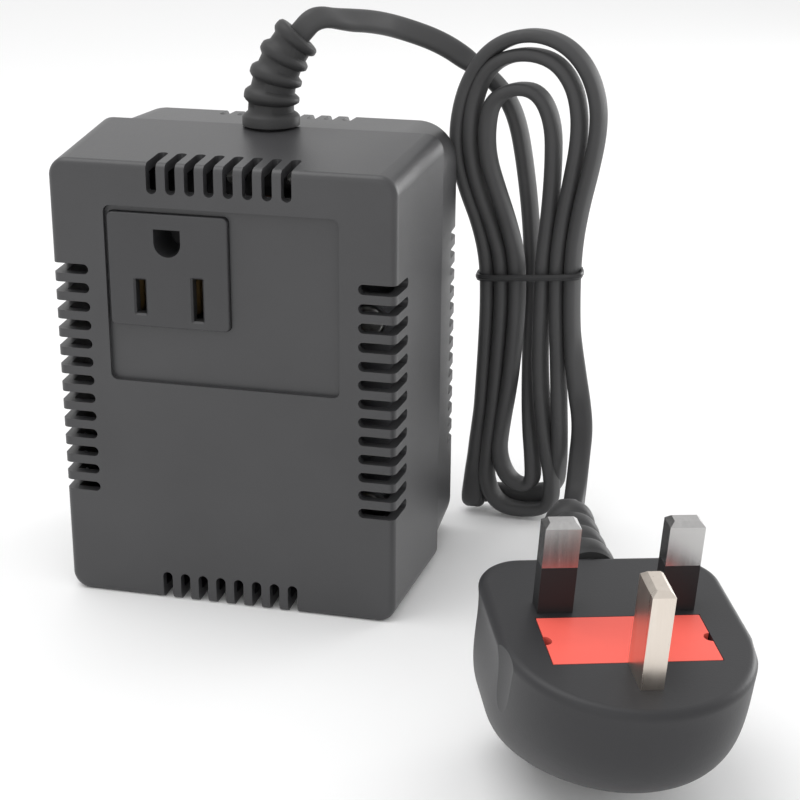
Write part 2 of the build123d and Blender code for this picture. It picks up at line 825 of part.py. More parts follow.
def biarc(start, start_dir, end, end_dir):
    """Two arcs that leave start along one direction and reach end along the other."""
    chord = end - start
    spread = 2 * (1 - start_dir.dot(end_dir))
    if spread < 1e-9:
        reach = chord.dot(chord) / (4 * chord.dot(end_dir))
    else:
        along = chord.dot(start_dir + end_dir)
        reach = (sqrt(along ** 2 + spread * chord.dot(chord)) - along) / spread
    joint = (start + end + (start_dir - end_dir) * reach) / 2
    joint_dir = (end - end_dir * reach) - (start + start_dir * reach)
    return [TangentArc(start, joint, tangent=start_dir), TangentArc(joint, end, tangent=joint_dir)]


def hank_stops():
    """Where the cord goes in the hank, from the lead to the tail: x, height, layer and heading."""
    down, up = -90.0, 90.0
    first = radians(lead_start_heading)
    floor = cord_thickness / 2 + floor_gap
    lead_x = lead_start_x + cord_width * cos(first)
    lead_height = lead_start_height + cord_width * sin(first)
    stops = [
        (lead_start_x, lead_start_height, lead_layer, lead_start_heading),
        (lead_x, lead_height, lead_layer, lead_start_heading),
        (lead_in_x, lead_in_height, lead_layer, lead_in_heading),
        (waist_middle_x, waist_height, lead_layer, down),
        (low_lead_x, climb_top, lead_layer, down),
    ]
    for turn in range(hank_turns):
        right_low = low_lead_x + turn * low_step
        left_low = low_left_x - turn * low_step
        fold_floor = floor + (hank_turns - 1 - turn) * fold_step
        fold_top = fold_floor + (right_low - left_low) / 2 + fold_extra
        waist_reach = (turn + 0.5) * waist_step
        left_high = high_left_x - turn * high_left_step
        right_high = high_right_x + turn * high_right_step
        crown = crown_heights[turn]
        last = turn == hank_turns - 1
        if turn > 0:
            stops.append((right_low, low_height, 0.0, down))
        stops += [
            (right_low, fold_top, 0.0, down),
            (left_low + (right_low - left_low) * fold_shares[turn], fold_floor, 0.0, 180.0),
            (left_low, fold_top, 0.0, up),
            (left_low, low_height, 0.0, up),
            (waist_middle_x - waist_reach, waist_height, 0.0, up),
            (left_high, high_height, 0.0, up),
            ((left_high + right_high) / 2, crown, 0.0, 0.0),
            (right_high, high_height, 0.0, down),
            (waist_middle_x + waist_reach, waist_height, 0.0, down),
        ]
        if last:
            tail_x = right_low + (cord_thickness + cord_width) / 2 + tail_gap
            stops.append((tail_x, tail_start_height, 0.0, down))
            stops.append((tail_x, tail_start_height - cord_width, 0.0, down))
    return stops


def hank_path():
    """The hank's centreline: straight runs and pairs of arcs, all tangent."""
    edges = []
    stops = hank_stops()
    for before, after in zip(stops, stops[1:]):
        start, end = on_hank(*before[:3]), on_hank(*after[:3])
        start_dir, end_dir = hank_heading(before[3]), hank_heading(after[3])
        chord = (end - start).normalized()
        if chord.dot(start_dir) > 1 - 1e-9 and chord.dot(end_dir) > 1 - 1e-9:
            edges.append(Line(start, end))
        else:
            edges += biarc(start, start_dir, end, end_dir)
    return edges


def least_gap(path, samples=900):
    """The smallest gap between two parts of the flat flex, on points along its centreline."""
    local = []
    for i in range(samples + 1):
        point = hank_plane.to_local_coords(path.position_at(i / samples))
        local.append((point.X, point.Y, point.Z))
    apart = int(samples * 3 * cord_width / path.length)
    least = None
    for i, one in enumerate(local):
        for other in local[i + apart:]:
            in_plane = hypot(one[0] - other[0], one[1] - other[1]) - cord_thickness
            across = abs(one[2] - other[2]) - cord_width
            gap = max(in_plane, across)
            if least is None or gap < least:
                least = gap
    return least


hank_edges = hank_path()
hank_line = Wire(hank_edges)
hank_start = on_hank(lead_start_x, lead_start_height, lead_layer)
hank_start_dir = hank_heading(lead_start_heading)
hank_end = hank_line @ 1
hank_end_dir = hank_heading(-90.0)
hank_wide = hank_plane.z_dir


# The plug's place

plug_turned = Rot(0, 0, plug_turn) * Rot(plug_tilt, 0, 0) * Rot(0, plug_lean, 0)
plug_place = Pos(plug_x, plug_y, plug_face_height) * plug_turned * Pos(0, 0, -plug_height)
boot_height = plug_height - boot_axis_drop
boot_length = boot_straight + boot_bend_radius * radians(boot_bend_angle)


def boot_station(distance):
    """A point and direction along the boot's axis, in the plug's frame, from inside the body outward."""
    sideways = Vector(cos(radians(boot_bend_rise)), 0, sin(radians(boot_bend_rise)))
    turned = max(distance - boot_straight, 0.0) / boot_bend_radius
    ahead = min(distance, boot_straight) + boot_bend_radius * sin(turned)
    aside = sideways * (boot_bend_radius * (1 - cos(turned)))
    point = Vector(0, plug_back - boot_start + ahead, boot_height) + aside
    return point, Vector(0, cos(turned), 0) + sideways * sin(turned)


def in_case_frame(local, place=plug_place):
    """A point of the plug's frame as one of the case's."""
    return (place * Pos(local.X, local.Y, local.Z)).position


boot_end_local, boot_end_out = boot_station(boot_length)
boot_end = in_case_frame(boot_end_local)
boot_out = in_case_frame(boot_end_local + boot_end_out) - boot_end

lead_points = [
    hank_start,
    hank_start - hank_start_dir * lead_last_run,
    *[Vector(*p) for p in reversed(lead_route)],
    gland_end + gland_direction * lead_first_run,
    gland_end,
]
tail_points = [
    hank_end,
    hank_end + hank_end_dir * tail_first_run,
    *[Vector(*p) for p in tail_route],
    boot_end + boot_out * tail_last_run,
    boot_end,
]


def free_stretch(points):
    """A free stretch's centreline: runs joined by tangent arcs."""
    return FilletPolyline(*points, radius=route_radii([tuple(p) for p in points]))


lead_line = free_stretch(lead_points)
tail_line = free_stretch(tail_points)


def make_tie():
    """The tie's band, drawn round the strands and the lead behind them."""
    half = (hank_turns - 0.5) * waist_step + cord_thickness / 2 + tie_gap
    front = cord_width / 2 + tie_gap
    lead_half = cord_thickness / 2 + tie_gap
    back = lead_layer + front
    corners = [(-half, front), (half, front), (half, -front)]
    corners += [(lead_half, -back), (-lead_half, -back), (-half, -front)]
    origin = hank_plane.from_local_coords(Vector(waist_middle_x, waist_height - tie_height / 2, 0))
    plane = Plane(origin=origin, x_dir=hank_plane.x_dir, z_dir=hank_plane.y_dir)
    inner = make_face(Polyline(*[(x, -y) for x, y in corners], close=True))
    outer = offset(inner, tie_thickness)
    return plane * extrude(outer - inner, tie_height)


# The plug, built with its pin face up, its row of pins along X and its cord end toward +Y

def plug_outline(level, half_width, front, round_start, inset=0.0):
    """The plug's outline at one height: flat cord end, straight sides and a round earth end."""
    half = half_width - inset
    back = plug_back - inset
    start = -round_start
    corner = plug_back_corner - inset
    sides = [
        Line((-half + corner, back), (half - corner, back)),
        CenterArc((half - corner, back - corner), corner, 90, -90),
        Line((half, back - corner), (half, start)),
        EllipticalCenterArc((0, start), half, front - inset + start, start_angle=270, arc_size=90),
        EllipticalCenterArc((0, start), half, front - inset + start, start_angle=180, arc_size=90),
        Line((-half, start), (-half, back - corner)),
        CenterArc((-half + corner, back - corner), corner, 180, -90),
    ]
    return Pos(0, 0, level) * make_face(sides)


def plug_levels():
    """The outlines from the pin face down to the floor."""
    levels = []
    for drop, width, front, round_start in plug_level_shares:
        half = plug_half_width * width
        level = plug_height - (plug_height + plug_below) * drop
        levels.append(plug_outline(level, half, plug_front * front, half * round_start))
    return levels


insert_top = plug_height - skin
chamber_top = plug_height - pin_embed
flat_pin_xs = (-pin_spacing / 2, pin_spacing / 2)
fuse_axis_height = plug_height - fuse_depth
well_ys = (-fuse_offset - fuse_well_width / 2, -fuse_offset + fuse_well_width / 2)
boot_bore = rod(boot_base_diameter,
                (0, plug_back - boot_bore_depth, boot_height), (0, plug_back + overrun, boot_height))
plug_cord_ys = (insert_back - fit_gap, plug_back - boot_bore_depth)


def flat_pin_block(x, bottom, top, inset=0.0):
    """A box of a flat pin's section."""
    return block((x - flat_pin_width / 2 + inset, x + flat_pin_width / 2 - inset),
                 (-flat_pin_thickness / 2 + inset, flat_pin_thickness / 2 - inset), (bottom, top))


def earth_pin_block(bottom, top):
    """A box of the earth pin's section."""
    ys = (-earth_pin_offset - earth_pin_depth / 2, -earth_pin_offset + earth_pin_depth / 2)
    return block((-earth_pin_width / 2, earth_pin_width / 2), ys, (bottom, top))


def carrier_opening(gap, bottom, top):
    """The carrier's outline, grown by a gap, between two heights."""
    plane = Plane(origin=(0, -fuse_offset, bottom))
    return extrude(plane * Rectangle(carrier_length + 2 * gap, carrier_width + 2 * gap), top - bottom)


def insert_block():
    """The space of the inner moulding, with a nose for the earth pin."""
    heights = (insert_floor, insert_top)
    main = block((-insert_width / 2, insert_width / 2), (-insert_shoulder, insert_back), heights)
    half = insert_nose_width / 2
    return main + block((-half, half), (-insert_front, -insert_shoulder), heights)


def plug_flex(start, end):
    """The flex inside the plug, its wide side level."""
    plane = Plane(origin=(0, start, boot_height), x_dir=(1, 0, 0), z_dir=(0, 1, 0))
    return extrude(plane * SlotOverall(cord_width, cord_thickness), end - start)


def make_plug_body():
    """The moulded body: crowned back, finger grips, openings for the pins and the carrier."""
    body = loft(plug_levels())
    rim = body.faces().sort_by(Axis.Z)[-1].edges()
    body = fillet(rim, plug_face_radius)
    for side in (-1, 1):
        axis_x = side * (plug_half_width - grip_depth + grip_radius)
        body -= rod(2 * grip_radius,
                    (axis_x, -grip_middle, grip_floor), (axis_x, -grip_middle, plug_height + overrun))
    body -= insert_block()
    for x in flat_pin_xs:
        body -= flat_pin_block(x, insert_top - overrun, plug_height + overrun)
    body -= earth_pin_block(insert_top - overrun, plug_height + overrun)
    body -= carrier_opening(carrier_gap, insert_top - overrun, plug_height + overrun)
    body -= boot_bore
    body -= plug_flex(*plug_cord_ys)
    reach = 2 * plug_front
    under = block((plug_x - reach, plug_x + reach), (plug_y - reach, plug_y + reach), (-reach, 0))
    return plug_place * body - under


def make_plug_insert():
    """The inner moulding: pin pockets, fuse well, wiring chamber and the cord's entry."""
    insert = insert_block()
    insert -= block((-chamber_half_width, chamber_half_width), (-chamber_front, chamber_back),
                    (insert_floor - overrun, chamber_top))
    insert -= block((-fuse_well_length / 2, fuse_well_length / 2), well_ys,
                    (chamber_top - overrun, insert_top + overrun))
    insert -= carrier_opening(carrier_gap, plug_height - carrier_thickness - fit_gap, insert_top + overrun)
    for x in flat_pin_xs:
        insert -= flat_pin_block(x, chamber_top - overrun, insert_top + overrun)
    insert -= earth_pin_block(chamber_top, insert_top + overrun)
    half = cord_width / 2 + fit_gap
    insert -= block((-half, half), (chamber_back - 2 * wire_radius - 4 * fit_gap, insert_back + overrun),
                    (insert_floor - overrun, boot_height + cord_thickness / 2 + fit_gap))
    return insert


def pin_tip(shape):
    """Chamfers a pin's top edges."""
    return chamfer(shape.faces().sort_by(Axis.Z)[-1].edges(), pin_tip_chamfer)


def make_flat_pin(x):
    """A live or neutral pin: bare tip, thinner core inside the sleeve, full section in the insert."""
    sleeve_low = plug_height - sleeve_embed
    sleeve_high = plug_height + sleeve_length
    pin = pin_tip(flat_pin_block(x, sleeve_high, plug_height + flat_pin_length))
    pin += flat_pin_block(x, sleeve_low, sleeve_high, pin_core_inset)
    return pin + flat_pin_block(x, chamber_top, sleeve_low)


def make_sleeve(x):
    """The insulating sleeve of a flat pin."""
    low, high = plug_height - sleeve_embed, plug_height + sleeve_length
    return flat_pin_block(x, low, high) - flat_pin_block(x, low, high, pin_core_inset)


def make_earth_pin():
    """The earth pin, turned the other way, with chamfered edges at its tip."""
    return pin_tip(earth_pin_block(chamber_top, plug_height + earth_pin_length))


fuse_plane = Plane(origin=(-fuse_length / 2, -fuse_offset, fuse_axis_height), z_dir=(1, 0, 0))
clip_middle = fuse_length / 2 - fuse_cap_length / 2


def make_fuse_link():
    """The fuse's ceramic body."""
    reach = fuse_cap_length / 2
    middle = Plane(origin=(-fuse_length / 2 + reach, -fuse_offset, fuse_axis_height), z_dir=(1, 0, 0))
    return extrude(middle * Circle(fuse_body_diameter / 2), fuse_length - 2 * reach)


def make_fuse_caps():
    """The fuse's two end caps, each a cup on the ceramic body."""
    caps = []
    for side in (-1, 1):
        end = side * fuse_length / 2
        cap = rod(fuse_cap_diameter, (end, -fuse_offset, fuse_axis_height),
                  (end - side * fuse_cap_length, -fuse_offset, fuse_axis_height))
        cap -= rod(fuse_body_diameter, (end - side * fuse_cap_length / 2, -fuse_offset, fuse_axis_height),
                   (end - side * (fuse_cap_length + overrun), -fuse_offset, fuse_axis_height))
        caps.append(cap)
    return Compound(caps)


def make_clip(side):
    """A spring clip round one fuse cap, with its strap in the chamber."""
    x = side * clip_middle
    xs = (x - clip_width / 2, x + clip_width / 2)
    half = fuse_cap_diameter / 2 + clip_gap
    floor_z = (chamber_top - clip_thickness, chamber_top)
    outer = half + clip_thickness
    clip = block(xs, (-fuse_offset - outer, -fuse_offset + outer), floor_z)
    for way in (-1, 1):
        ys = sorted((-fuse_offset + way * half, -fuse_offset + way * outer))
        clip += block(xs, ys, (floor_z[0], floor_z[0] + clip_height))
    if side > 0:
        strap_xs = (pin_spacing / 2 - strap_width / 2, pin_spacing / 2 + strap_width / 2)
        clip += block(strap_xs, (-fuse_offset, flat_pin_thickness / 2), floor_z)
    else:
        strap_ys = (-fuse_offset - strap_width / 2, -fuse_offset + strap_width / 2)
        clip += block((xs[1] - clip_thickness, 2 * strap_width), strap_ys, floor_z)
        clip += block((strap_width, 2 * strap_width), (-fuse_offset, chamber_back - 2 * wire_radius), floor_z)
    return clip


def make_carrier():
    """The fuse carrier: a plate with pry notches and two legs that hold the fuse."""
    top = plug_height
    plate = carrier_opening(0.0, top - carrier_thickness, top)
    plate = fillet(plate.edges().filter_by(Axis.Z), carrier_gap)
    for side in (-1, 1):
        notch_x = side * carrier_length / 2
        plate -= rod(2 * carrier_notch, (notch_x, -fuse_offset, top - 2 * carrier_thickness),
                     (notch_x, -fuse_offset, top + overrun))
    inner = fuse_cap_diameter / 2 + leg_gap
    for way in (-1, 1):
        ys = sorted((-fuse_offset + way * inner, -fuse_offset + way * (inner + leg_thickness)))
        low = top - carrier_thickness - leg_length
        plate += block((-leg_width / 2, leg_width / 2), ys, (low, top - carrier_thickness / 2))
        hook = sorted((-fuse_offset + way * (inner - 2 * leg_gap), -fuse_offset + way * inner))
        plate += block((-leg_width / 2, leg_width / 2), hook, (low, low + leg_thickness / 2))
    return plate


def make_boot():
    """The ribbed strain relief of the plug, with its root in the body."""
    roots = (boot_base_diameter * boot_root_share, boot_tip_diameter * boot_root_share)
    steady = Vector(-sin(radians(boot_bend_rise)), 0, cos(radians(boot_bend_rise)))
    sleeve = ribbed_sleeve(boot_station, boot_start, boot_length, boot_ribs,
                           (boot_base_diameter, boot_tip_diameter), roots, boot_groove_share, steady)
    root = rod(boot_base_diameter, (0, plug_back - boot_bore_depth, boot_height), (0, plug_back, boot_height))
    return sleeve + root


def make_plug_wire(side, end):
    """A wire that leaves the flex, drops into the chamber, crosses it and rises to its end."""
    start = (side * wire_spacing / 2, plug_cord_ys[0], boot_height)
    drop_y = start[1] - plug_wire_reach
    run_height = end[2] - plug_wire_reach
    points = [start, (start[0], drop_y, start[2]), (start[0], drop_y, run_height)]
    points += [(end[0], end[1], run_height), end]
    path = FilletPolyline(*points, radius=plug_wire_bend)
    return sweep(Plane(origin=path @ 0, z_dir=path % 0) * Circle(wire_radius), path=path)


# Writing the nodes

keep("front_shell", make_front_shell())
keep("rear_shell", make_rear_shell())
keep("outlet_face", make_outlet_face())
keep("outlet_cover", make_outlet_cover())
keep("live_contact", make_contact(slot_left_x))
keep("neutral_contact", make_contact(slot_right_x))
keep("core_laminations", make_core())
keep("bobbin", make_bobbin())
keep("primary_winding", coil_layer(tube_outer, primary_width))
keep("secondary_winding", coil_layer(primary_width, secondary_width))
keep("winding_tape", coil_layer(secondary_width, tape_width))
keep("thermal_cutout", make_thermal_cutout())
keep("case_screws", Compound([
    screw(screw_diameter, screw_head_diameter, screw_head_height,
          rear_depth - counterbore_depth + screw_bite, (x, rear_y - counterbore_depth, z), -1)
    for x, z in case_screw_places
]))
keep("core_screws", Compound([
    screw(core_screw_diameter, core_screw_head_diameter, core_screw_head_height,
          core_stack + core_screw_bite, (x, core_front_y, z), 1)
    for x, z in core_screw_places
]))
clamp_screw_length = anvil_front_y - clamp_front_y + clamp_screw_spacing / 2 - fit_gap
keep("clamp_screws", Compound([
    screw(clamp_screw_diameter, clamp_screw_head, clamp_screw_head_height, clamp_screw_length,
          (x, clamp_front_y, clamp_middle), 1)
    for x in clamp_screw_xs
]))
keep("cord_gland", make_gland())
keep("inner_cord", make_inner_cord())
keep("cord_clamp", make_cord_clamp())
keep("live_lead_in", make_input_wire(-1))
keep("neutral_lead_in", make_input_wire(1))
keep("live_lead_out", make_output_wire(slot_left_x))
keep("neutral_lead_out", make_output_wire(slot_right_x))

cord_lead = free_cord(lead_line, hank_wide)
cord_hank = flat_cord(hank_line, hank_wide)
cord_tail = free_cord(tail_line, hank_wide)
keep("cord_lead", cord_lead)
keep("cord_hank", cord_hank)
keep("cord_tail", cord_tail)
keep("twist_tie", make_tie())

keep("plug_body", make_plug_body())
keep("plug_insert", plug_place * make_plug_insert())
keep("plug_boot", plug_place * make_boot())
keep("plug_inner_cord", plug_place * plug_flex(*plug_cord_ys))
keep("live_pin", plug_place * make_flat_pin(flat_pin_xs[1]))
keep("neutral_pin", plug_place * make_flat_pin(flat_pin_xs[0]))
keep("live_pin_sleeve", plug_place * make_sleeve(flat_pin_xs[1]))
keep("neutral_pin_sleeve", plug_place * make_sleeve(flat_pin_xs[0]))
keep("earth_pin", plug_place * make_earth_pin())
keep("live_fuse_clip", plug_place * make_clip(1))
keep("line_fuse_clip", plug_place * make_clip(-1))
keep("plug_neutral_wire", plug_place * make_plug_wire(-1, (-pin_spacing / 2, 0.0, chamber_top)))
strap_end = (1.5 * strap_width, chamber_back - 4 * wire_radius, chamber_top - clip_thickness)
keep("plug_line_wire", plug_place * make_plug_wire(1, strap_end))
keep("fuse_link", plug_place * make_fuse_link())
keep("fuse_caps", plug_place * make_fuse_caps())
keep("fuse_carrier", plug_place * make_carrier())

free_stretches = (("lead", lead_line, cord_lead, lead_points), ("tail", tail_line, cord_tail, tail_points))
for name, line, solid, points in free_stretches:
    radii = [round(radius, 1) for radius in route_radii([tuple(p) for p in points])]
    print(name, "length", round(line.length, 1), "radii", radii,
          "volume against section times length", round(solid.volume / (cord_area() * line.length), 4))
arc_radii = [edge.radius for edge in hank_line.edges() if edge.geom_type == GeomType.CIRCLE]
print("hank length", round(hank_line.length, 1), "smallest radius", round(min(arc_radii), 2),
      "volume against section times length", round(cord_hank.volume / (cord_area() * hank_line.length), 4))
print("hank least gap to itself", round(least_gap(hank_line), 3))
print("whole cord", round(hank_line.length + lead_line.length + tail_line.length, 1))
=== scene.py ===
"""Dresses a travel voltage converter: finishes for its rigid parts, and its cord, strain reliefs and tie.

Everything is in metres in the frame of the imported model. Lengths in millimetres are multiplied by MM.
"""
from math import cos, pi, radians, sin

import bpy
from bpy.props import FloatProperty, FloatVectorProperty, IntProperty, PointerProperty
from mathutils import Matrix, Vector


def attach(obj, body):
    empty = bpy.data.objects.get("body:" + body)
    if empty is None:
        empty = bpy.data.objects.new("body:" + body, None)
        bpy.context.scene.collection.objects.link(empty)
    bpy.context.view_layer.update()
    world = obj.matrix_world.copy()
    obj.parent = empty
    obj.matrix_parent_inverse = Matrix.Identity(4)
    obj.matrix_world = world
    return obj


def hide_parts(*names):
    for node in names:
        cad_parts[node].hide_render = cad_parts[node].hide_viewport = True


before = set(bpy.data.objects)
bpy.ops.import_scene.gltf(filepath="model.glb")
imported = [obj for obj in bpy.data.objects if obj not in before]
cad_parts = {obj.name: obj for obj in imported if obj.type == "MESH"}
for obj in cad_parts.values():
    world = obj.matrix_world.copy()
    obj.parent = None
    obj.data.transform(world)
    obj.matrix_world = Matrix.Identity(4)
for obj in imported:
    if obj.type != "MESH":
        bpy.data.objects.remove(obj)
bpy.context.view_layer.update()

bl_info = {
    "name": "Travel voltage converter",
    "version": (1, 0, 0),
    "blender": (4, 5, 0),
    "location": "View3D > Sidebar > Converter",
    "description": "Finishes a corded travel voltage converter and models its cord, strain reliefs and tie",
    "category": "Object",
}

MM = 0.001
ROOT_BODY = "converter"

# Where the flexible parts start and end, as in the part's own frame, in millimetres
GLAND_BASE = Vector((1.1, 6.0, 101.55))
GLAND_HEADING = radians(18.0)
GLAND_STRAIGHT = 3.0
GLAND_BEND_RADIUS = 25.0
GLAND_BEND = radians(42.0)
PLUG_AT = Vector((89.3, -77.1, 35.2))
PLUG_TURN, PLUG_TILT, PLUG_LEAN = radians(20.8), radians(4.9), radians(2.2)
PLUG_HEIGHT = 33.5
BOOT_START = 16.0
BOOT_AXIS_HEIGHT = 28.1
BOOT_STRAIGHT = 3.0
BOOT_BEND_RADIUS = 140.0
BOOT_BEND = radians(9.4)
HANK_FOOT_Y = 36.8
HANK_LEAN = radians(3.6)

# The strain reliefs' rings: distance along the axis and radius, in millimetres, then the ribs' radii
GLAND_COLLAR = [(-3.2, 4.4), (0.0, 4.4), (0.02, 6.0), (0.25, 6.35), (2.1, 6.35), (2.55, 6.0)]
GLAND_RIBS_START, GLAND_RIBS, GLAND_RIB_SHARE = 2.8, 4, 0.46
GLAND_CRESTS, GLAND_ROOTS = (6.35, 5.3), (5.1, 4.4)
BOOT_ROOT = [(-2.5, 4.8), (1.85, 4.8), (1.9, 6.2), (2.3, 6.4)]
BOOT_RIBS_START, BOOT_RIBS, BOOT_RIB_SHARE = 2.5, 4, 0.7
BOOT_CRESTS, BOOT_ROOTS = (6.6, 4.9), (5.5, 4.0)

# The tie round the loops' waist, in millimetres on the hank
TIE_HEIGHT, TIE_MIDDLE, TIE_SLOPE = 64.4, 55.7, 0.08
TIE_HALF, TIE_FRONT = 12.0, 3.4
TIE_BACK, TIE_BACK_HALF = 9.0, 2.2

# Soft lights: size of the lamp, its place and the point it faces, in metres
LIGHTS = {
    "key": (0.7, (-0.25, -0.1, 0.85), (0.05, 0.0, 0.03)),
    "side": (0.5, (0.62, 0.62, 0.12), (0.03, 0.02, 0.05)),
    "fill": (0.6, (-0.15, -0.9, 0.4), (0.03, 0.0, 0.05)),
}

# What the flex carries: pieces made here, and parts of the plug
CARRIED_PIECES = ("gland_sleeve", "wire_tie", "plug_boot_sleeve")
CARRIED_PARTS = (
    "plug_body", "plug_insert", "plug_inner_cord", "live_pin", "neutral_pin", "earth_pin",
    "live_pin_sleeve", "neutral_pin_sleeve", "live_fuse_clip", "line_fuse_clip",
    "plug_neutral_wire", "plug_line_wire", "fuse_link", "fuse_caps", "fuse_carrier")

# How the drawn metal's grain is turned and stretched along the pins
PIN_GRAIN_TURN, PIN_GRAIN_STRETCH = (0.1, -0.1, 0.36), (1.0, 1.0, 0.03)


# Places


def plug_frame():
    """The plug's own frame, with its pin face up, as a matrix in metres."""
    turned = Matrix.Rotation(PLUG_TURN, 4, "Z") @ Matrix.Rotation(PLUG_TILT, 4, "X")
    turned = turned @ Matrix.Rotation(PLUG_LEAN, 4, "Y")
    drop = Matrix.Translation((0, 0, -PLUG_HEIGHT * MM))
    return Matrix.Translation(PLUG_AT * MM) @ turned @ drop


def gland_station(distance):
    """A point on the gland's axis and its direction, in metres, at a distance in millimetres."""
    heading = Vector((cos(GLAND_HEADING), sin(GLAND_HEADING), 0))
    turned = max(distance - GLAND_STRAIGHT, 0.0) / GLAND_BEND_RADIUS
    out = heading * (GLAND_BEND_RADIUS * (1 - cos(turned)))
    rise = Vector((0, 0, min(distance, GLAND_STRAIGHT) + GLAND_BEND_RADIUS * sin(turned)))
    return (GLAND_BASE + out + rise) * MM, heading * sin(turned) + Vector((0, 0, cos(turned)))


def boot_station(distance):
    """A point on the plug boot's axis and its direction, in metres, at a distance in millimetres."""
    turned = max(distance - BOOT_STRAIGHT, 0.0) / BOOT_BEND_RADIUS
    ahead = BOOT_START + min(distance, BOOT_STRAIGHT) + BOOT_BEND_RADIUS * sin(turned)
    aside = BOOT_BEND_RADIUS * (1 - cos(turned))
    place = plug_frame()
    point = place @ (Vector((aside, ahead, BOOT_AXIS_HEIGHT)) * MM)
    return point, (place.to_3x3() @ Vector((sin(turned), cos(turned), 0))).normalized()


GLAND_LENGTH = GLAND_STRAIGHT + GLAND_BEND_RADIUS * GLAND_BEND
BOOT_LENGTH = BOOT_STRAIGHT + BOOT_BEND_RADIUS * BOOT_BEND


def on_hank(x, height, layer):
    """A point of the leaning hank: across, up along it and behind its front layer, in metres."""
    y = HANK_FOOT_Y - height * sin(HANK_LEAN) + layer * cos(HANK_LEAN)
    z = height * cos(HANK_LEAN) + layer * sin(HANK_LEAN)
    return Vector((x, y, z)) * MM


# Finishes


class Value:
    """A number in a material. A sum on it adds a Math node."""

    def __init__(self, finish, socket):
        self.finish = finish
        self.socket = socket

    def math(self, operation, first, second=0.0):
        return self.finish.node("ShaderNodeMath", {"operation": operation}, {0: first, 1: second})

    def __add__(self, other):
        return self.math("ADD", self, other)

    __radd__ = __add__

    def __sub__(self, other):
        return self.math("SUBTRACT", self, other)

    def __rsub__(self, other):
        return self.math("SUBTRACT", other, self)

    def __mul__(self, other):
        return self.math("MULTIPLY", self, other)

    __rmul__ = __mul__

    def __gt__(self, other):
        return self.math("GREATER_THAN", self, other)

    def __lt__(self, other):
        return self.math("LESS_THAN", self, other)

    def wave(self):
        return self.math("SINE", self)

    def size(self):
        return self.math("ABSOLUTE", self)


class Finish:
    """A material: its shader, and the nodes that vary it over the surface."""

    def __init__(self, name, roughness=0.4, metallic=0.0, **constants):
        self.material = bpy.data.materials.new(name)
        self.material.use_nodes = True
        self.tree = self.material.node_tree
        self.shader = next(n for n in self.tree.nodes if n.type == "BSDF_PRINCIPLED")
        self.shader.inputs["Roughness"].default_value = roughness
        self.shader.inputs["Metallic"].default_value = metallic
        for socket, value in constants.items():
            self.shader.inputs[socket.replace("_", " ")].default_value = value
        self.place = self.node("ShaderNodeTexCoord", {}, {}, "Object")

    def node(self, kind, settings, sockets, output=0):
        """Adds a node: settings first, a ramp's stops among them, then its sockets' values or links."""
        made = self.tree.nodes.new(kind)
        for key, value in settings.items():
            if key == "stops":
                ramp = made.color_ramp
                while len(ramp.elements) < len(value):
                    ramp.elements.new(0.5)
                for element, (position, colour) in zip(ramp.elements, value):
                    element.position = position
                    element.color = colour
            else:
                setattr(made, key, value)
        for key, value in sockets.items():
            if isinstance(value, Value):
                self.tree.links.new(value.socket, made.inputs[key])
            else:
                made.inputs[key].default_value = value
        return Value(self, made.outputs[output])

    def axes(self):
        """The object coordinates' three numbers."""
        split = self.node("ShaderNodeSeparateXYZ", {}, {0: self.place})
        outputs = split.socket.node.outputs
        return [Value(self, outputs[i]) for i in range(3)]

    def moved(self, turn, scale):
        """The object's coordinates, turned and scaled."""
        return self.node("ShaderNodeMapping", {"vector_type": "POINT"},
                         {"Vector": self.place, "Rotation": turn, "Scale": scale})

    def noise(self, scale, detail=3.0, roughness=0.5, place=None):
        """A soft random number about one half."""
        return self.node("ShaderNodeTexNoise", {}, {
            "Vector": place or self.place, "Scale": scale, "Detail": detail, "Roughness": roughness})

    def blend(self, share, first, second):
        """A colour between two."""
        return self.node("ShaderNodeMix", {"data_type": "RGBA"}, {0: share, 6: first, 7: second}, 2)

    def ramp(self, share, *stops):
        """A number through a ramp of greys."""
        greys = [(position, (level, level, level, 1.0)) for position, level in stops]
        return self.node("ShaderNodeValToRGB", {"stops": greys}, {0: share})

    def colour(self, value):
        self.link("Base Color", value)

    def roughness(self, value):
        self.link("Roughness", value)

    def link(self, socket, value):
        if isinstance(value, Value):
            self.tree.links.new(value.socket, self.shader.inputs[socket])
        else:
            self.shader.inputs[socket].default_value = value

    def bump(self, height, distance, strength=1.0):
        """Relief of a height from 0 to 1, with its depth in metres."""
        normal = self.node("ShaderNodeBump", {}, {
            "Height": height, "Distance": distance, "Strength": strength})
        self.tree.links.new(normal.socket, self.shader.inputs["Normal"])


def opaque(colour, gain=1.0):
    """A colour with full alpha, made lighter or darker."""
    return (colour[0] * gain, colour[1] * gain, colour[2] * gain, 1.0)


def moulded(name, colour, roughness, grain, grain_scale=1900.0, handled=0.08, **constants):
    """Injection-moulded plastic: a fine spark-eroded grain, soft flow marks and a little handling."""
    finish = Finish(name, roughness=roughness, **constants)
    fine = finish.noise(grain_scale, 3.0, 0.6)
    broad = finish.noise(34.0, 4.0, 0.55)
    finish.colour(finish.blend(broad, opaque(colour, 0.82), opaque(colour, 1.25)))
    finish.roughness(roughness - 0.5 * handled + handled * broad + 0.06 * fine)
    finish.bump(fine, grain)
    return finish


def dress(node, finish):
    """Gives a carried-over part its finish."""
    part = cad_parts[node]
    part.data.materials.clear()
    part.data.materials.append(finish.material)


# Shapes


def smooth(piece, angle=radians(40.0)):
    """Shades a finished piece smooth, except at its sharp edges."""
    bpy.ops.object.select_all(action="DESELECT")
    piece.select_set(True)
    bpy.context.view_layer.objects.active = piece
    bpy.ops.object.shade_smooth_by_angle(angle=angle)


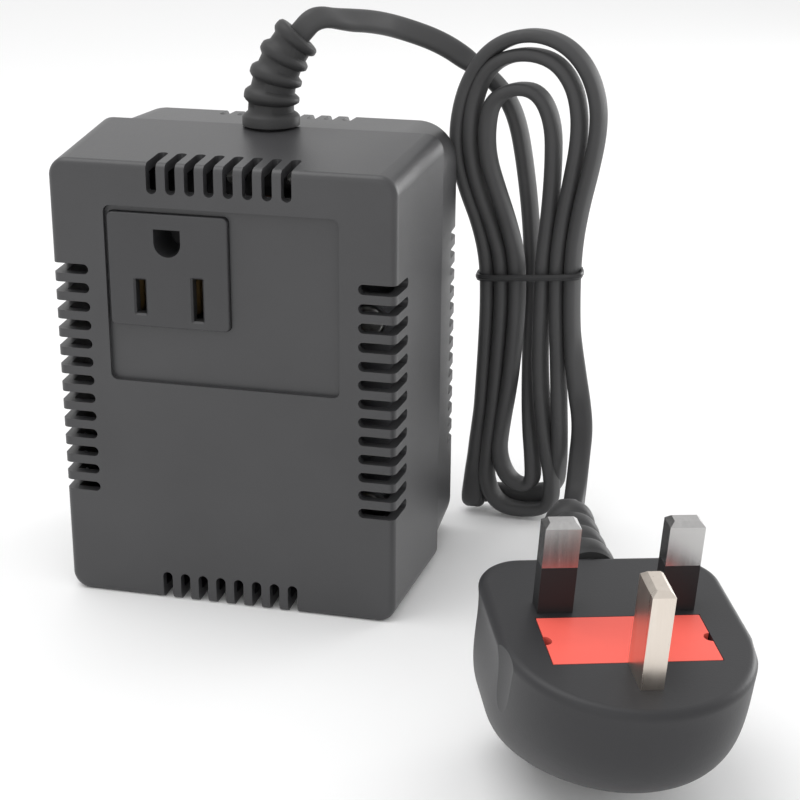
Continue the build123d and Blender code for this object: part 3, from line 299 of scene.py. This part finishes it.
def turned_sleeve(name, stations, sides):
    """A round sleeve standing on Z, from circles of a radius at a distance, extruded one from another."""
    bpy.ops.object.select_all(action="DESELECT")
    start, radius = stations[0]
    bpy.ops.mesh.primitive_circle_add(vertices=sides, radius=radius * MM, location=(0, 0, start * MM))
    piece = bpy.context.object
    piece.name = piece.data.name = name
    bpy.ops.object.transform_apply(location=True, rotation=True, scale=True)
    bpy.ops.object.mode_set(mode="EDIT")
    bpy.ops.mesh.select_all(action="SELECT")
    for distance, wider in stations[1:]:
        bpy.ops.mesh.extrude_region_move(TRANSFORM_OT_translate={"value": (0, 0, (distance - start) * MM)})
        share = wider / radius
        bpy.ops.transform.resize(value=(share, share, 1.0), center_override=(0, 0, distance * MM))
        start, radius = distance, wider
    bpy.ops.mesh.edge_face_add()
    bpy.ops.mesh.select_all(action="SELECT")
    bpy.ops.mesh.normals_make_consistent(inside=False)
    bpy.ops.object.mode_set(mode="OBJECT")
    return piece


def bend_onto(piece, station):
    """Lays a piece that stands on Z along an axis, by its height above the start."""
    for vertex in piece.data.vertices:
        point, along = station(vertex.co.z / MM)
        across = Vector((0, 1, 0)).cross(along).normalized()
        other = along.cross(across)
        vertex.co = point + across * vertex.co.x + other * vertex.co.y
    piece.data.update()


def rib_profile(first, last, ribs, crest, root, crest_share, base):
    """Stations of a tapering ribbed sleeve: round crests with flat grooves between them."""
    stations = list(base)
    pitch = (last - first) / ribs
    edge = 0.10 * pitch
    for i in range(ribs):
        for share, level in ((0.0, 0.0), (1 - crest_share, 0.0), (1 - crest_share, 0.55),
                             (1 - 0.8 * crest_share, 0.93), (1 - 0.5 * crest_share, 1.0),
                             (1 - 0.2 * crest_share, 0.93), (1.0, 0.55)):
            at = first + (i + share) * pitch
            if level == 0.0:
                at += edge if share == 0.0 else -edge
            done = (at - first) / (last - first)
            low = root[0] + (root[1] - root[0]) * done
            high = crest[0] + (crest[1] - crest[0]) * done
            stations.append((at, low + (high - low) * level))
    return stations


# The cord's route: control points with the direction of the flex's wide side, from gland to plug

ROLLED = Vector((0.42, 0.9, 0))
RIGHTWARD = Vector((1, 0, 0))


def cord_route():
    """Points in metres, each with the direction of the flex's wide side there."""
    end, out = gland_station(GLAND_LENGTH)
    lead_wide = Vector((-0.75, 0.06, 0.63))
    route = [
        (end - out * 2.0 * MM, lead_wide),
        (end, lead_wide),
        (end + out * 5.4 * MM, lead_wide),
        (Vector((15.5, 15.5, 123.7)) * MM, Vector((-0.25, 0.3, 0.9))),
        (Vector((20.0, 22.0, 122.8)) * MM, Vector((-0.12, 0.32, 0.94))),
        (Vector((24.6, 29.0, 120.8)) * MM, Vector((0.05, 0.36, 0.93))),
        (Vector((33.4, 33.6, 117.2)) * MM, Vector((0.3, 0.4, 0.86))),
    ]
    # The lead's strand, behind the loops, down to the innermost fold
    for x, height, layer in ((40.4, 112.2, 5.7), (44.5, 109.4, 5.7), (48.4, 105.2, 5.7), (51.2, 99.3, 5.7),
                             (53.0, 90.1, 5.7), (54.6, 78.1, 5.7), (55.4, 67.0, 5.7), (55.6, 55.6, 5.7),
                             (55.6, 40.5, 4.6), (56.4, 25.9, 1.4), (57.6, 16.4, 0.0)):
        route.append((on_hank(x, height, layer), ROLLED))
    # The innermost loop: fold, left side, crown, right side
    for x, height in ((57.8, 8.8), (52.2, 9.2), (48.9, 16.1), (49.7, 24.6), (51.4, 35.4), (52.4, 47.2),
                      (52.9, 57.5), (52.6, 68.0), (50.3, 76.7), (47.5, 84.7), (45.3, 91.7), (44.9, 98.3),
                      (46.0, 105.3), (51.3, 108.5), (57.0, 107.7), (60.3, 100.9), (60.6, 91.0), (60.0, 79.0),
                      (58.9, 68.4), (58.9, 57.9), (58.6, 45.2), (59.3, 32.2), (61.2, 18.9)):
        route.append((on_hank(x, height, 0.0), ROLLED))
    # The middle loop
    for x, height in ((62.7, 10.3), (62.3, 3.4), (56.5, 1.8), (49.6, 2.5), (45.9, 8.5), (46.4, 17.5),
                      (47.7, 29.7), (48.7, 43.1), (49.4, 57.3), (49.1, 67.8), (47.0, 75.0), (44.0, 82.9),
                      (41.9, 89.9), (41.2, 97.0), (41.9, 104.7), (44.1, 111.2), (48.2, 115.0), (54.5, 116.4),
                      (60.6, 114.8), (64.6, 109.8), (66.2, 103.5), (66.2, 96.2), (64.9, 87.8), (63.3, 78.5),
                      (62.3, 68.6), (62.4, 58.1), (63.0, 45.5), (63.6, 32.6), (64.1, 22.0)):
        route.append((on_hank(x, height, 0.0), ROLLED))
    # The outermost loop: it passes behind the middle fold and turns forward at the left
    route += [
        (on_hank(63.9, 13.5, 1.5), ROLLED),
        (on_hank(62.8, 6.0, 3.9), Vector((0.5, 0.6, 0.6))),
        (on_hank(56.3, 4.0, 4.8), Vector((0, 0.15, 1))),
        (on_hank(49.5, 3.8, 4.8), Vector((0, 0.1, 1))),
        (on_hank(44.4, 3.6, 4.6), Vector((0.3, 0, 0.95))),
        (on_hank(42.0, 1.8, -0.2), RIGHTWARD),
        (on_hank(43.0, 10.0, -0.1), RIGHTWARD),
        (on_hank(44.2, 20.0, 0.0), Vector((0.9, 0.45, 0))),
    ]
    for x, height in ((45.0, 33.6), (45.6, 45.5), (46.0, 57.0), (45.7, 67.6), (43.7, 76.3), (40.7, 83.9),
                      (38.7, 90.9), (38.2, 98.0), (39.4, 105.5), (41.8, 111.5), (45.3, 116.6), (50.4, 119.8),
                      (56.7, 120.6), (62.8, 118.6), (67.6, 113.6), (70.3, 106.5), (70.6, 99.2), (69.2, 90.3),
                      (67.2, 81.1), (65.8, 70.8), (65.8, 58.3)):
        route.append((on_hank(x, height, 0.0), ROLLED))
    # The tail leaves the waist, turns its flat side forward and runs over the floor to the plug
    route += [
        (on_hank(66.4, 47.0, 0.0), ROLLED),
        (on_hank(68.2, 35.5, 0.0), Vector((0.8, 0.6, 0))),
        (on_hank(69.6, 26.4, 0.2), RIGHTWARD),
        (on_hank(69.0, 17.5, 0.8), RIGHTWARD),
        (Vector((68.9, 32.5, 9.6)) * MM, RIGHTWARD),
        (Vector((69.4, 22.0, 6.6)) * MM, RIGHTWARD),
        (Vector((71.2, 10.0, 8.6)) * MM, RIGHTWARD),
        (Vector((72.6, -3.0, 14.0)) * MM, Vector((0.97, 0.2, 0))),
        (Vector((73.8, -15.5, 24.0)) * MM, Vector((0.95, 0.3, 0))),
    ]
    boot_end, boot_out = boot_station(BOOT_LENGTH)
    plug_right = plug_frame().to_3x3() @ RIGHTWARD
    route += [
        (boot_end + boot_out * 7.5 * MM, plug_right),
        (boot_end, plug_right),
        (boot_end - boot_out * 2.0 * MM, plug_right),
    ]
    return route


def route_spline(name, points):
    """The route as a NURBS curve object with no thickness."""
    curve = bpy.data.curves.new(name, "CURVE")
    curve.dimensions = "3D"
    curve.resolution_u = 8
    spline = curve.splines.new("NURBS")
    spline.points.add(len(points) - 1)
    for control, point in zip(spline.points, points):
        control.co = (*point, 1.0)
    spline.order_u = 3
    spline.use_endpoint_u = True
    return bpy.data.objects.new(name, curve)


def followed(points):
    """The points of the route's own spline."""
    route = route_spline("route", points)
    mesh = bpy.data.meshes.new_from_object(route)
    line = [vertex.co.copy() for vertex in mesh.vertices]
    bpy.data.meshes.remove(mesh)
    bpy.data.curves.remove(route.data)
    return line


def flex_section(width, thickness, steps=9):
    """The flat flex's outline: two half rounds and slightly crowned sides."""
    radius = thickness / 2
    reach = width / 2 - radius
    outline = []
    for side in (1, -1):
        for i in range(steps):
            angle = pi * i / (steps - 1) - pi / 2
            outline.append((side * (reach + radius * cos(angle)), side * radius * sin(angle)))
        outline.append((0.0, side * radius * 1.02))
    return outline


def swept(name, line, wides, outline):
    """A closed tube of one outline along a line, its wide side along the given directions."""
    rings = []
    for i, (centre, wide) in enumerate(zip(line, wides)):
        along = (line[min(i + 1, len(line) - 1)] - line[max(i - 1, 0)]).normalized()
        level = (wide - along * wide.dot(along)).normalized()
        square = along.cross(level)
        rings.append([centre + level * a + square * b for a, b in outline])
    count = len(outline)
    vertices = [point for ring in rings for point in ring]
    faces = []
    for r in range(len(rings) - 1):
        for i in range(count):
            j = (i + 1) % count
            faces.append((r * count + i, r * count + j, (r + 1) * count + j, (r + 1) * count + i))
    last = (len(rings) - 1) * count
    faces.append(tuple(reversed(range(count))))
    faces.append(tuple(range(last, last + count)))
    mesh = bpy.data.meshes.new(name)
    mesh.from_pydata([tuple(v) for v in vertices], [], faces)
    piece = bpy.data.objects.new(name, mesh)
    bpy.context.scene.collection.objects.link(piece)
    return piece


def outward(piece):
    """Points a closed piece's faces outward."""
    bpy.ops.object.select_all(action="DESELECT")
    piece.select_set(True)
    bpy.context.view_layer.objects.active = piece
    bpy.ops.object.mode_set(mode="EDIT")
    bpy.ops.mesh.select_all(action="SELECT")
    bpy.ops.mesh.normals_make_consistent(inside=False)
    bpy.ops.object.mode_set(mode="OBJECT")


# Settings


class ConverterSizes(bpy.types.PropertyGroup):
    """Sizes of the pieces that are modelled here."""
    cord_width: FloatProperty(name="Flex width", description="Width of the flat twin flex",
                              default=5.2 * MM, unit="LENGTH")
    cord_thickness: FloatProperty(name="Flex thickness", description="Thickness of the flat twin flex",
                                  default=3.0 * MM, unit="LENGTH")
    tie_width: FloatProperty(name="Tie width", description="Width of the tie's plastic strip",
                             default=1.5 * MM, unit="LENGTH")
    rib_sides: IntProperty(name="Sides", description="Sides of the round strain reliefs", default=64)


class ConverterColours(bpy.types.PropertyGroup):
    """Base colours of the finishes."""
    case: FloatVectorProperty(name="Case", description="Black moulded shells", subtype="COLOR",
                              default=(0.043, 0.043, 0.045))
    outlet: FloatVectorProperty(name="Outlet", description="Black outlet block", subtype="COLOR",
                                default=(0.034, 0.034, 0.036))
    plug: FloatVectorProperty(name="Plug", description="Black moulded plug", subtype="COLOR",
                              default=(0.023, 0.023, 0.025))
    soft: FloatVectorProperty(name="Flex", description="Soft black cord and strain reliefs", subtype="COLOR",
                              default=(0.058, 0.058, 0.059))
    carrier: FloatVectorProperty(name="Fuse carrier", description="Coral red carrier", subtype="COLOR",
                                 default=(0.86, 0.13, 0.10))
    nickel: FloatVectorProperty(name="Pins", description="Nickel plating", subtype="COLOR",
                                default=(0.50, 0.495, 0.49))
    floor: FloatVectorProperty(name="Floor", description="Pale floor", subtype="COLOR",
                               default=(0.95, 0.95, 0.95))


class ConverterStage(bpy.types.PropertyGroup):
    """Camera and light."""
    lens: FloatProperty(name="Lens", description="Focal length on a 36 mm sensor", default=76.5)
    azimuth: FloatProperty(name="Azimuth", description="Camera's turn to the right", subtype="ANGLE",
                           default=radians(13.052))
    elevation: FloatProperty(name="Elevation", description="Camera's angle above the floor", subtype="ANGLE",
                             default=radians(20.003))
    roll: FloatProperty(name="Roll", description="Camera's roll", subtype="ANGLE", default=radians(0.447))
    place: FloatVectorProperty(name="Place", description="Camera's place", subtype="TRANSLATION",
                               default=(0.113494, -0.351004, 0.173075))
    key: FloatProperty(name="Key light", description="Power of the light above", default=2.9)
    side: FloatProperty(name="Side light", description="Power of the light behind at the right", default=4.0)
    fill: FloatProperty(name="Fill light", description="Power of the light by the camera", default=0.55)
    sky: FloatProperty(name="Surround", description="Strength of the pale surround", default=0.9)


# Operators


class CONVERTER_OT_stage(bpy.types.Operator):
    """Sets the camera, the pale floor and the soft lights"""
    bl_idname = "converter.stage"
    bl_label = "Stage"

    def execute(self, context):
        stage = context.scene.converter_stage
        lens = bpy.data.cameras.new("camera")
        lens.lens = stage.lens
        lens.sensor_width = 36.0
        lens.clip_start = 0.01
        lens.clip_end = 50.0
        camera = bpy.data.objects.new("camera", lens)
        context.scene.collection.objects.link(camera)
        az, el, roll = stage.azimuth, stage.elevation, stage.roll
        back = Vector((sin(az) * cos(el), -cos(az) * cos(el), sin(el)))
        level = Vector((cos(az), sin(az), 0))
        upright = back.cross(level)
        right = level * cos(roll) + upright * sin(roll)
        up = upright * cos(roll) - level * sin(roll)
        place = Matrix((right, up, back)).transposed().to_4x4()
        camera.matrix_world = Matrix.Translation(stage.place) @ place
        context.scene.camera = camera
        context.scene.view_settings.view_transform = "Standard"
        self.floor(context)
        for name, power in (("key", stage.key), ("side", stage.side), ("fill", stage.fill)):
            self.light(context, name, power, *LIGHTS[name])
        world = bpy.data.worlds.new("surround")
        world.use_nodes = True
        world.node_tree.nodes["Background"].inputs["Color"].default_value = (1.0, 1.0, 1.0, 1.0)
        world.node_tree.nodes["Background"].inputs["Strength"].default_value = stage.sky
        context.scene.world = world
        return {"FINISHED"}

    def floor(self, context):
        bpy.ops.object.select_all(action="DESELECT")
        bpy.ops.mesh.primitive_plane_add(size=8.0, location=(0, 0, 0))
        floor = context.object
        floor.name = "floor"
        pale = Finish("pale_floor", roughness=0.6)
        pale.colour(opaque(context.scene.converter_colours.floor))
        floor.data.materials.append(pale.material)

    def light(self, context, name, power, size, place, target):
        lamp = bpy.data.lights.new(name, "AREA")
        lamp.shape = "SQUARE"
        lamp.size = size
        lamp.energy = power
        light = bpy.data.objects.new(name, lamp)
        context.scene.collection.objects.link(light)
        light.location = place
        light.rotation_euler = (Vector(target) - Vector(place)).to_track_quat("-Z", "Y").to_euler()


def soft_finish(name, colour, roughness=0.42):
    """Soft extruded or moulded black: satin, with faint drawing marks and dust."""
    finish = Finish(name, roughness=roughness, Specular_IOR_Level=0.22)
    fine = finish.noise(1400.0, 3.0, 0.6)
    broad = finish.noise(60.0, 3.0, 0.5)
    dust = finish.ramp(finish.noise(420.0, 4.0, 0.7), (0.0, 0.0), (0.62, 0.0), (0.8, 1.0))
    body = finish.blend(broad, opaque(colour, 0.8), opaque(colour, 1.3))
    finish.colour(finish.blend(0.05 * dust, body, (0.30, 0.29, 0.28, 1.0)))
    finish.roughness(roughness - 0.05 + 0.1 * broad + 0.05 * dust)
    finish.bump(fine, 0.00002)
    return finish


class CONVERTER_OT_cord(bpy.types.Operator):
    """Makes the flat flex from the gland through the tied loops to the plug"""
    bl_idname = "converter.cord"
    bl_label = "Cord"

    def execute(self, context):
        sizes = context.scene.converter_sizes
        route = cord_route()
        line = followed([point for point, _ in route])
        wides = []
        for i in range(len(line)):
            at = i / (len(line) - 1) * (len(route) - 1)
            low = min(int(at), len(route) - 2)
            share = at - low
            share = share * share * (3 - 2 * share)
            wides.append(route[low][1].normalized().lerp(route[low + 1][1].normalized(), share))
        cord = swept("cord", line, wides, flex_section(sizes.cord_width, sizes.cord_thickness))
        outward(cord)
        smooth(cord)
        cord.data.materials.append(soft_finish("cord_jacket", context.scene.converter_colours.soft).material)
        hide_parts("cord_lead", "cord_hank", "cord_tail")
        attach(cord, ROOT_BODY)
        return {"FINISHED"}


class CONVERTER_OT_reliefs(bpy.types.Operator):
    """Makes the ribbed strain reliefs of the case and the plug"""
    bl_idname = "converter.reliefs"
    bl_label = "Strain reliefs"

    def execute(self, context):
        sizes = context.scene.converter_sizes
        finish = soft_finish("strain_relief", opaque(context.scene.converter_colours.soft, 0.7), 0.46)
        gland_stations = rib_profile(GLAND_RIBS_START, GLAND_LENGTH, GLAND_RIBS, GLAND_CRESTS, GLAND_ROOTS,
                                     GLAND_RIB_SHARE, GLAND_COLLAR)
        boot_stations = rib_profile(BOOT_RIBS_START, BOOT_LENGTH, BOOT_RIBS, BOOT_CRESTS, BOOT_ROOTS,
                                    BOOT_RIB_SHARE, BOOT_ROOT)
        gland_stations += self.mouth(GLAND_LENGTH, gland_stations[-1][1])
        boot_stations += self.mouth(BOOT_LENGTH, boot_stations[-1][1])
        for name, stations, station, node in (
                ("gland_sleeve", gland_stations, gland_station, "cord_gland"),
                ("plug_boot_sleeve", boot_stations, boot_station, "plug_boot")):
            piece = turned_sleeve(name, stations, sizes.rib_sides)
            bend_onto(piece, station)
            outward(piece)
            smooth(piece, radians(50.0))
            piece.data.materials.append(finish.material)
            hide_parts(node)
            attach(piece, ROOT_BODY)
        return {"FINISHED"}

    def mouth(self, end, radius):
        """The sleeve's rounded end and the hollow where the flex goes in."""
        return [(end + 0.15, radius * 0.9), (end + 0.2, radius * 0.75), (end, 2.9), (end - 1.2, 2.75)]


class CONVERTER_OT_tie(bpy.types.Operator):
    """Makes the wire tie round the loops' waist, twisted at the back"""
    bl_idname = "converter.tie"
    bl_label = "Tie"

    def execute(self, context):
        sizes = context.scene.converter_sizes
        half, front, back, back_half = TIE_HALF, TIE_FRONT, TIE_BACK, TIE_BACK_HALF
        right_side = [(0.0, -front), (8.0, -front), (half, -front + 0.4), (half + 0.5, 0.0),
                      (half - 0.4, front), (back_half + 3.0, back - 1.4), (back_half, back), (0.0, back)]
        band = right_side + [(-x, layer) for x, layer in reversed(right_side[:-1])]
        line = followed([on_hank(TIE_MIDDLE + x, TIE_HEIGHT + TIE_SLOPE * x, layer) for x, layer in band])
        strip = [(a * sizes.tie_width / 2, b * 0.45 * MM) for a, b in (
            (1, -0.5), (1, 0.5), (0.55, 0.62), (0.3, 1.0), (-0.3, 1.0), (-0.55, 0.62), (-1, 0.5), (-1, -0.5),
            (-0.55, -0.62), (-0.3, -1.0), (0.3, -1.0), (0.55, -0.62))]
        up = on_hank(0, 1, 0) - on_hank(0, 0, 0)
        loop = swept("tie_band", line, [up.normalized()] * len(line), strip)
        across = TIE_MIDDLE + back_half + 3.6
        tails = [self.twisted(start, up.normalized(), strip, across, TIE_HEIGHT, back - 0.9)
                 for start in (0.0, pi)]
        bpy.ops.object.select_all(action="DESELECT")
        for piece in tails:
            piece.select_set(True)
        loop.select_set(True)
        context.view_layer.objects.active = loop
        bpy.ops.object.join()
        tie = context.object
        tie.name = tie.data.name = "wire_tie"
        outward(tie)
        smooth(tie)
        tie.data.materials.append(soft_finish("tie_plastic", (0.03, 0.03, 0.031), 0.3).material)
        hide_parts("twist_tie")
        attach(tie, ROOT_BODY)
        return {"FINISHED"}

    def twisted(self, start, up, strip, x, height, layer):
        """One of the tie's two ends, twisted round the other down behind the loops."""
        turns, drop, steps, reach, spread = 3.5, 10.0, 56, 0.72, 1.1
        points, wides = [], []
        for i in range(steps + 1):
            share = i / steps
            angle = start + share * turns * 2 * pi
            out = reach + spread * max(share - 0.85, 0.0) / 0.15
            low = height - 0.6 - drop * share
            points.append(on_hank(x + out * cos(angle), low, layer + out * sin(angle)))
            wides.append(up * 0.7 + Vector((-sin(angle), cos(angle), 0)))
        return swept("tie_end", points, wides, [(a * 0.7, b) for a, b in strip])


class CONVERTER_OT_flex(bpy.types.Operator):
    bl_idname = "converter.flex"
    bl_label = "Declare the flex"

    def execute(self, context):
        line = followed([point for point, _ in cord_route()])
        carried = [bpy.data.objects[name] for name in CARRIED_PIECES]
        carried += [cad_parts[name] for name in CARRIED_PARTS]
        tuple(gland_station(GLAND_LENGTH)[0])
        return {"FINISHED"}


class CONVERTER_OT_case(bpy.types.Operator):
    """Finishes the two shells and the screws"""
    bl_idname = "converter.case"
    bl_label = "Case"

    def execute(self, context):
        colour = context.scene.converter_colours.case
        shell = moulded("case_shell", colour, 0.34, 0.00003, 2300.0)
        dress("front_shell", shell)
        dress("rear_shell", shell)
        steel = Finish("zinc_screw", roughness=0.3, metallic=1.0)
        tint = steel.noise(900.0, 3.0, 0.6)
        steel.colour(steel.blend(tint, (0.55, 0.55, 0.56, 1), (0.72, 0.71, 0.68, 1)))
        steel.roughness(0.22 + 0.2 * tint)
        for node in ("case_screws", "core_screws", "clamp_screws"):
            dress(node, steel)
        return {"FINISHED"}


class CONVERTER_OT_outlet(bpy.types.Operator):
    """Finishes the outlet block, its cover and its contacts"""
    bl_idname = "converter.outlet"
    bl_label = "Outlet"

    def execute(self, context):
        colour = context.scene.converter_colours.outlet
        face = moulded("outlet_block", colour, 0.38, 0.00002, 2600.0)
        dress("outlet_face", face)
        dress("outlet_cover", face)
        brass = Finish("shaded_contact_brass", roughness=0.3, metallic=1.0)
        tarnish = brass.noise(300.0, 4.0, 0.6)
        # Painted shade: the brass is coloured dark throughout for the contacts deep in the outlet's slots,
        # and the fuse clips share it; the tarnish noise only varies it at random.
        brass.colour(brass.blend(tarnish, (0.20, 0.15, 0.08, 1), (0.42, 0.33, 0.19, 1)))
        brass.roughness(0.3 + 0.3 * tarnish)
        for node in ("live_contact", "neutral_contact", "live_fuse_clip", "line_fuse_clip"):
            dress(node, brass)
        return {"FINISHED"}


class CONVERTER_OT_transformer(bpy.types.Operator):
    """Finishes the core, the bobbin, the windings and the cutout"""
    bl_idname = "converter.transformer"
    bl_label = "Transformer"

    def execute(self, context):
        core = Finish("core_steel", roughness=0.4, metallic=0.9)
        sheet = (core.axes()[1] * (2 * pi / (0.5 * MM))).wave() * 0.5 + 0.5
        varnish = core.noise(70.0, 4.0, 0.6)
        core.colour(core.blend(sheet, (0.10, 0.10, 0.11, 1), (0.33, 0.33, 0.35, 1)))
        core.roughness(0.28 + 0.3 * varnish)
        core.bump(sheet, 0.00008)
        dress("core_laminations", core)
        bobbin = moulded("bobbin_nylon", (0.05, 0.05, 0.05), 0.5, 0.00003)
        for node in ("bobbin", "cord_clamp", "plug_insert"):
            dress(node, bobbin)
        # Painted shade and highlight: each wire's colour runs from the dark tone in the grooves between
        # turns to the light tone on each turn's crown.
        fine_shaded_tones = ((0.30, 0.08, 0.03, 1), (0.62, 0.24, 0.09, 1))
        thick_shaded_tones = ((0.34, 0.10, 0.035, 1), (0.70, 0.30, 0.12, 1))
        for node, pitch, tones in (("primary_winding", 0.5, fine_shaded_tones),
                                   ("secondary_winding", 0.9, thick_shaded_tones)):
            wound = Finish(node + "_wire", roughness=0.3, metallic=0.85)
            turns = (wound.axes()[2] * (2 * pi / (pitch * MM))).wave().size()
            wound.colour(wound.blend(turns, *tones))
            wound.roughness(0.25 + 0.2 * wound.noise(200.0))
            wound.bump(turns, 0.3 * pitch * MM)
            dress(node, wound)
        tape = Finish("winding_tape", roughness=0.25)
        overlap = (tape.axes()[2] * (2 * pi / (9.0 * MM))).wave() > 0.96
        wrinkle = tape.noise(120.0, 4.0, 0.6)
        tape.colour(tape.blend(overlap, (0.72, 0.52, 0.06, 1), (0.5, 0.34, 0.03, 1)))
        tape.roughness(0.18 + 0.2 * wrinkle)
        tape.bump(wrinkle, 0.0001)
        dress("winding_tape", tape)
        dress("thermal_cutout", moulded("cutout_shell", (0.03, 0.03, 0.03), 0.45, 0.00003))
        return {"FINISHED"}


class CONVERTER_OT_wiring(bpy.types.Operator):
    """Finishes the wires inside the case and the plug"""
    bl_idname = "converter.wiring"
    bl_label = "Wiring"

    def execute(self, context):
        brown = moulded("wire_brown", (0.16, 0.06, 0.025), 0.4, 0.00001)
        blue = moulded("wire_blue", (0.03, 0.1, 0.42), 0.4, 0.00001)
        for node in ("live_lead_in", "live_lead_out", "plug_line_wire"):
            dress(node, brown)
        for node in ("neutral_lead_in", "neutral_lead_out", "plug_neutral_wire"):
            dress(node, blue)
        soft = soft_finish("inner_flex", context.scene.converter_colours.soft)
        for node in ("inner_cord", "plug_inner_cord"):
            dress(node, soft)
        return {"FINISHED"}


class CONVERTER_OT_plug(bpy.types.Operator):
    """Finishes the plug's body, its pins and sleeves"""
    bl_idname = "converter.plug"
    bl_label = "Plug"

    def execute(self, context):
        colours = context.scene.converter_colours
        shell = moulded("plug_shell", colours.plug, 0.42, 0.00002, 2400.0, Specular_IOR_Level=0.4)
        dress("plug_body", shell)
        sleeve = moulded("pin_sleeve", (0.018, 0.018, 0.019), 0.5, 0.00001, Specular_IOR_Level=0.25)
        dress("live_pin_sleeve", sleeve)
        dress("neutral_pin_sleeve", sleeve)
        nickel = Finish("nickel_pin", roughness=0.2, metallic=1.0)
        drawn = nickel.noise(900.0, 3.0, 0.6, nickel.moved(PIN_GRAIN_TURN, PIN_GRAIN_STRETCH))
        nickel.colour(nickel.blend(drawn, opaque(colours.nickel, 0.85), opaque(colours.nickel, 1.08)))
        nickel.roughness(0.16 + 0.16 * drawn)
        nickel.bump(drawn, 0.00001)
        dress("live_pin", nickel)
        dress("neutral_pin", nickel)
        earth = Finish("earth_pin_nickel", roughness=0.25, metallic=1.0)
        warm = earth.noise(900.0, 3.0, 0.6, earth.moved(PIN_GRAIN_TURN, PIN_GRAIN_STRETCH))
        earth.colour(earth.blend(warm, (0.66, 0.59, 0.52, 1), (0.77, 0.70, 0.63, 1)))
        earth.roughness(0.22 + 0.16 * warm)
        dress("earth_pin", earth)
        return {"FINISHED"}


class CONVERTER_OT_fuse(bpy.types.Operator):
    """Finishes the fuse and its carrier"""
    bl_idname = "converter.fuse"
    bl_label = "Fuse"

    def execute(self, context):
        carrier = moulded("carrier_red", context.scene.converter_colours.carrier, 0.42, 0.00001, 1800.0,
                          Specular_IOR_Level=0.25)
        dress("fuse_carrier", carrier)
        ceramic = Finish("fuse_ceramic", roughness=0.5)
        speck = ceramic.noise(1500.0, 4.0, 0.7)
        ceramic.colour(ceramic.blend(speck, (0.72, 0.70, 0.64, 1), (0.86, 0.84, 0.79, 1)))
        ceramic.bump(speck, 0.00001)
        dress("fuse_link", ceramic)
        cap = Finish("fuse_cap", roughness=0.25, metallic=1.0)
        scuff = cap.noise(700.0, 4.0, 0.6)
        cap.colour(cap.blend(scuff, (0.62, 0.61, 0.58, 1), (0.78, 0.77, 0.74, 1)))
        cap.roughness(0.18 + 0.2 * scuff)
        dress("fuse_caps", cap)
        return {"FINISHED"}


class CONVERTER_PT_panel(bpy.types.Panel):
    """Lists the converter's pieces and settings"""
    bl_label = "Converter"
    bl_idname = "CONVERTER_PT_panel"
    bl_space_type = "VIEW_3D"
    bl_region_type = "UI"
    bl_category = "Converter"

    def draw(self, context):
        for operator in OPERATORS:
            self.layout.operator(operator.bl_idname)
        for group in (context.scene.converter_sizes, context.scene.converter_colours,
                      context.scene.converter_stage):
            box = self.layout.box()
            for name in group.bl_rna.properties.keys():
                if name not in ("rna_type", "name"):
                    box.prop(group, name)


OPERATORS = (CONVERTER_OT_stage, CONVERTER_OT_cord, CONVERTER_OT_reliefs, CONVERTER_OT_tie,
             CONVERTER_OT_flex, CONVERTER_OT_case, CONVERTER_OT_outlet, CONVERTER_OT_transformer,
             CONVERTER_OT_wiring, CONVERTER_OT_plug, CONVERTER_OT_fuse)
GROUPS = (ConverterSizes, ConverterColours, ConverterStage)


def register():
    """Registers the settings, operators and panel."""
    for made in GROUPS + OPERATORS + (CONVERTER_PT_panel,):
        bpy.utils.register_class(made)
    bpy.types.Scene.converter_sizes = PointerProperty(type=ConverterSizes)
    bpy.types.Scene.converter_colours = PointerProperty(type=ConverterColours)
    bpy.types.Scene.converter_stage = PointerProperty(type=ConverterStage)


def unregister():
    """Removes what register added."""
    del bpy.types.Scene.converter_stage
    del bpy.types.Scene.converter_colours
    del bpy.types.Scene.converter_sizes
    for made in reversed(GROUPS + OPERATORS + (CONVERTER_PT_panel,)):
        bpy.utils.unregister_class(made)


def main():
    """Registers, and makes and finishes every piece."""
    register()
    bpy.ops.converter.stage()
    bpy.ops.converter.cord()
    bpy.ops.converter.reliefs()
    bpy.ops.converter.tie()
    bpy.ops.converter.flex()
    bpy.ops.converter.case()
    bpy.ops.converter.outlet()
    bpy.ops.converter.transformer()
    bpy.ops.converter.wiring()
    bpy.ops.converter.plug()
    bpy.ops.converter.fuse()


if __name__ == "__main__":
    main()
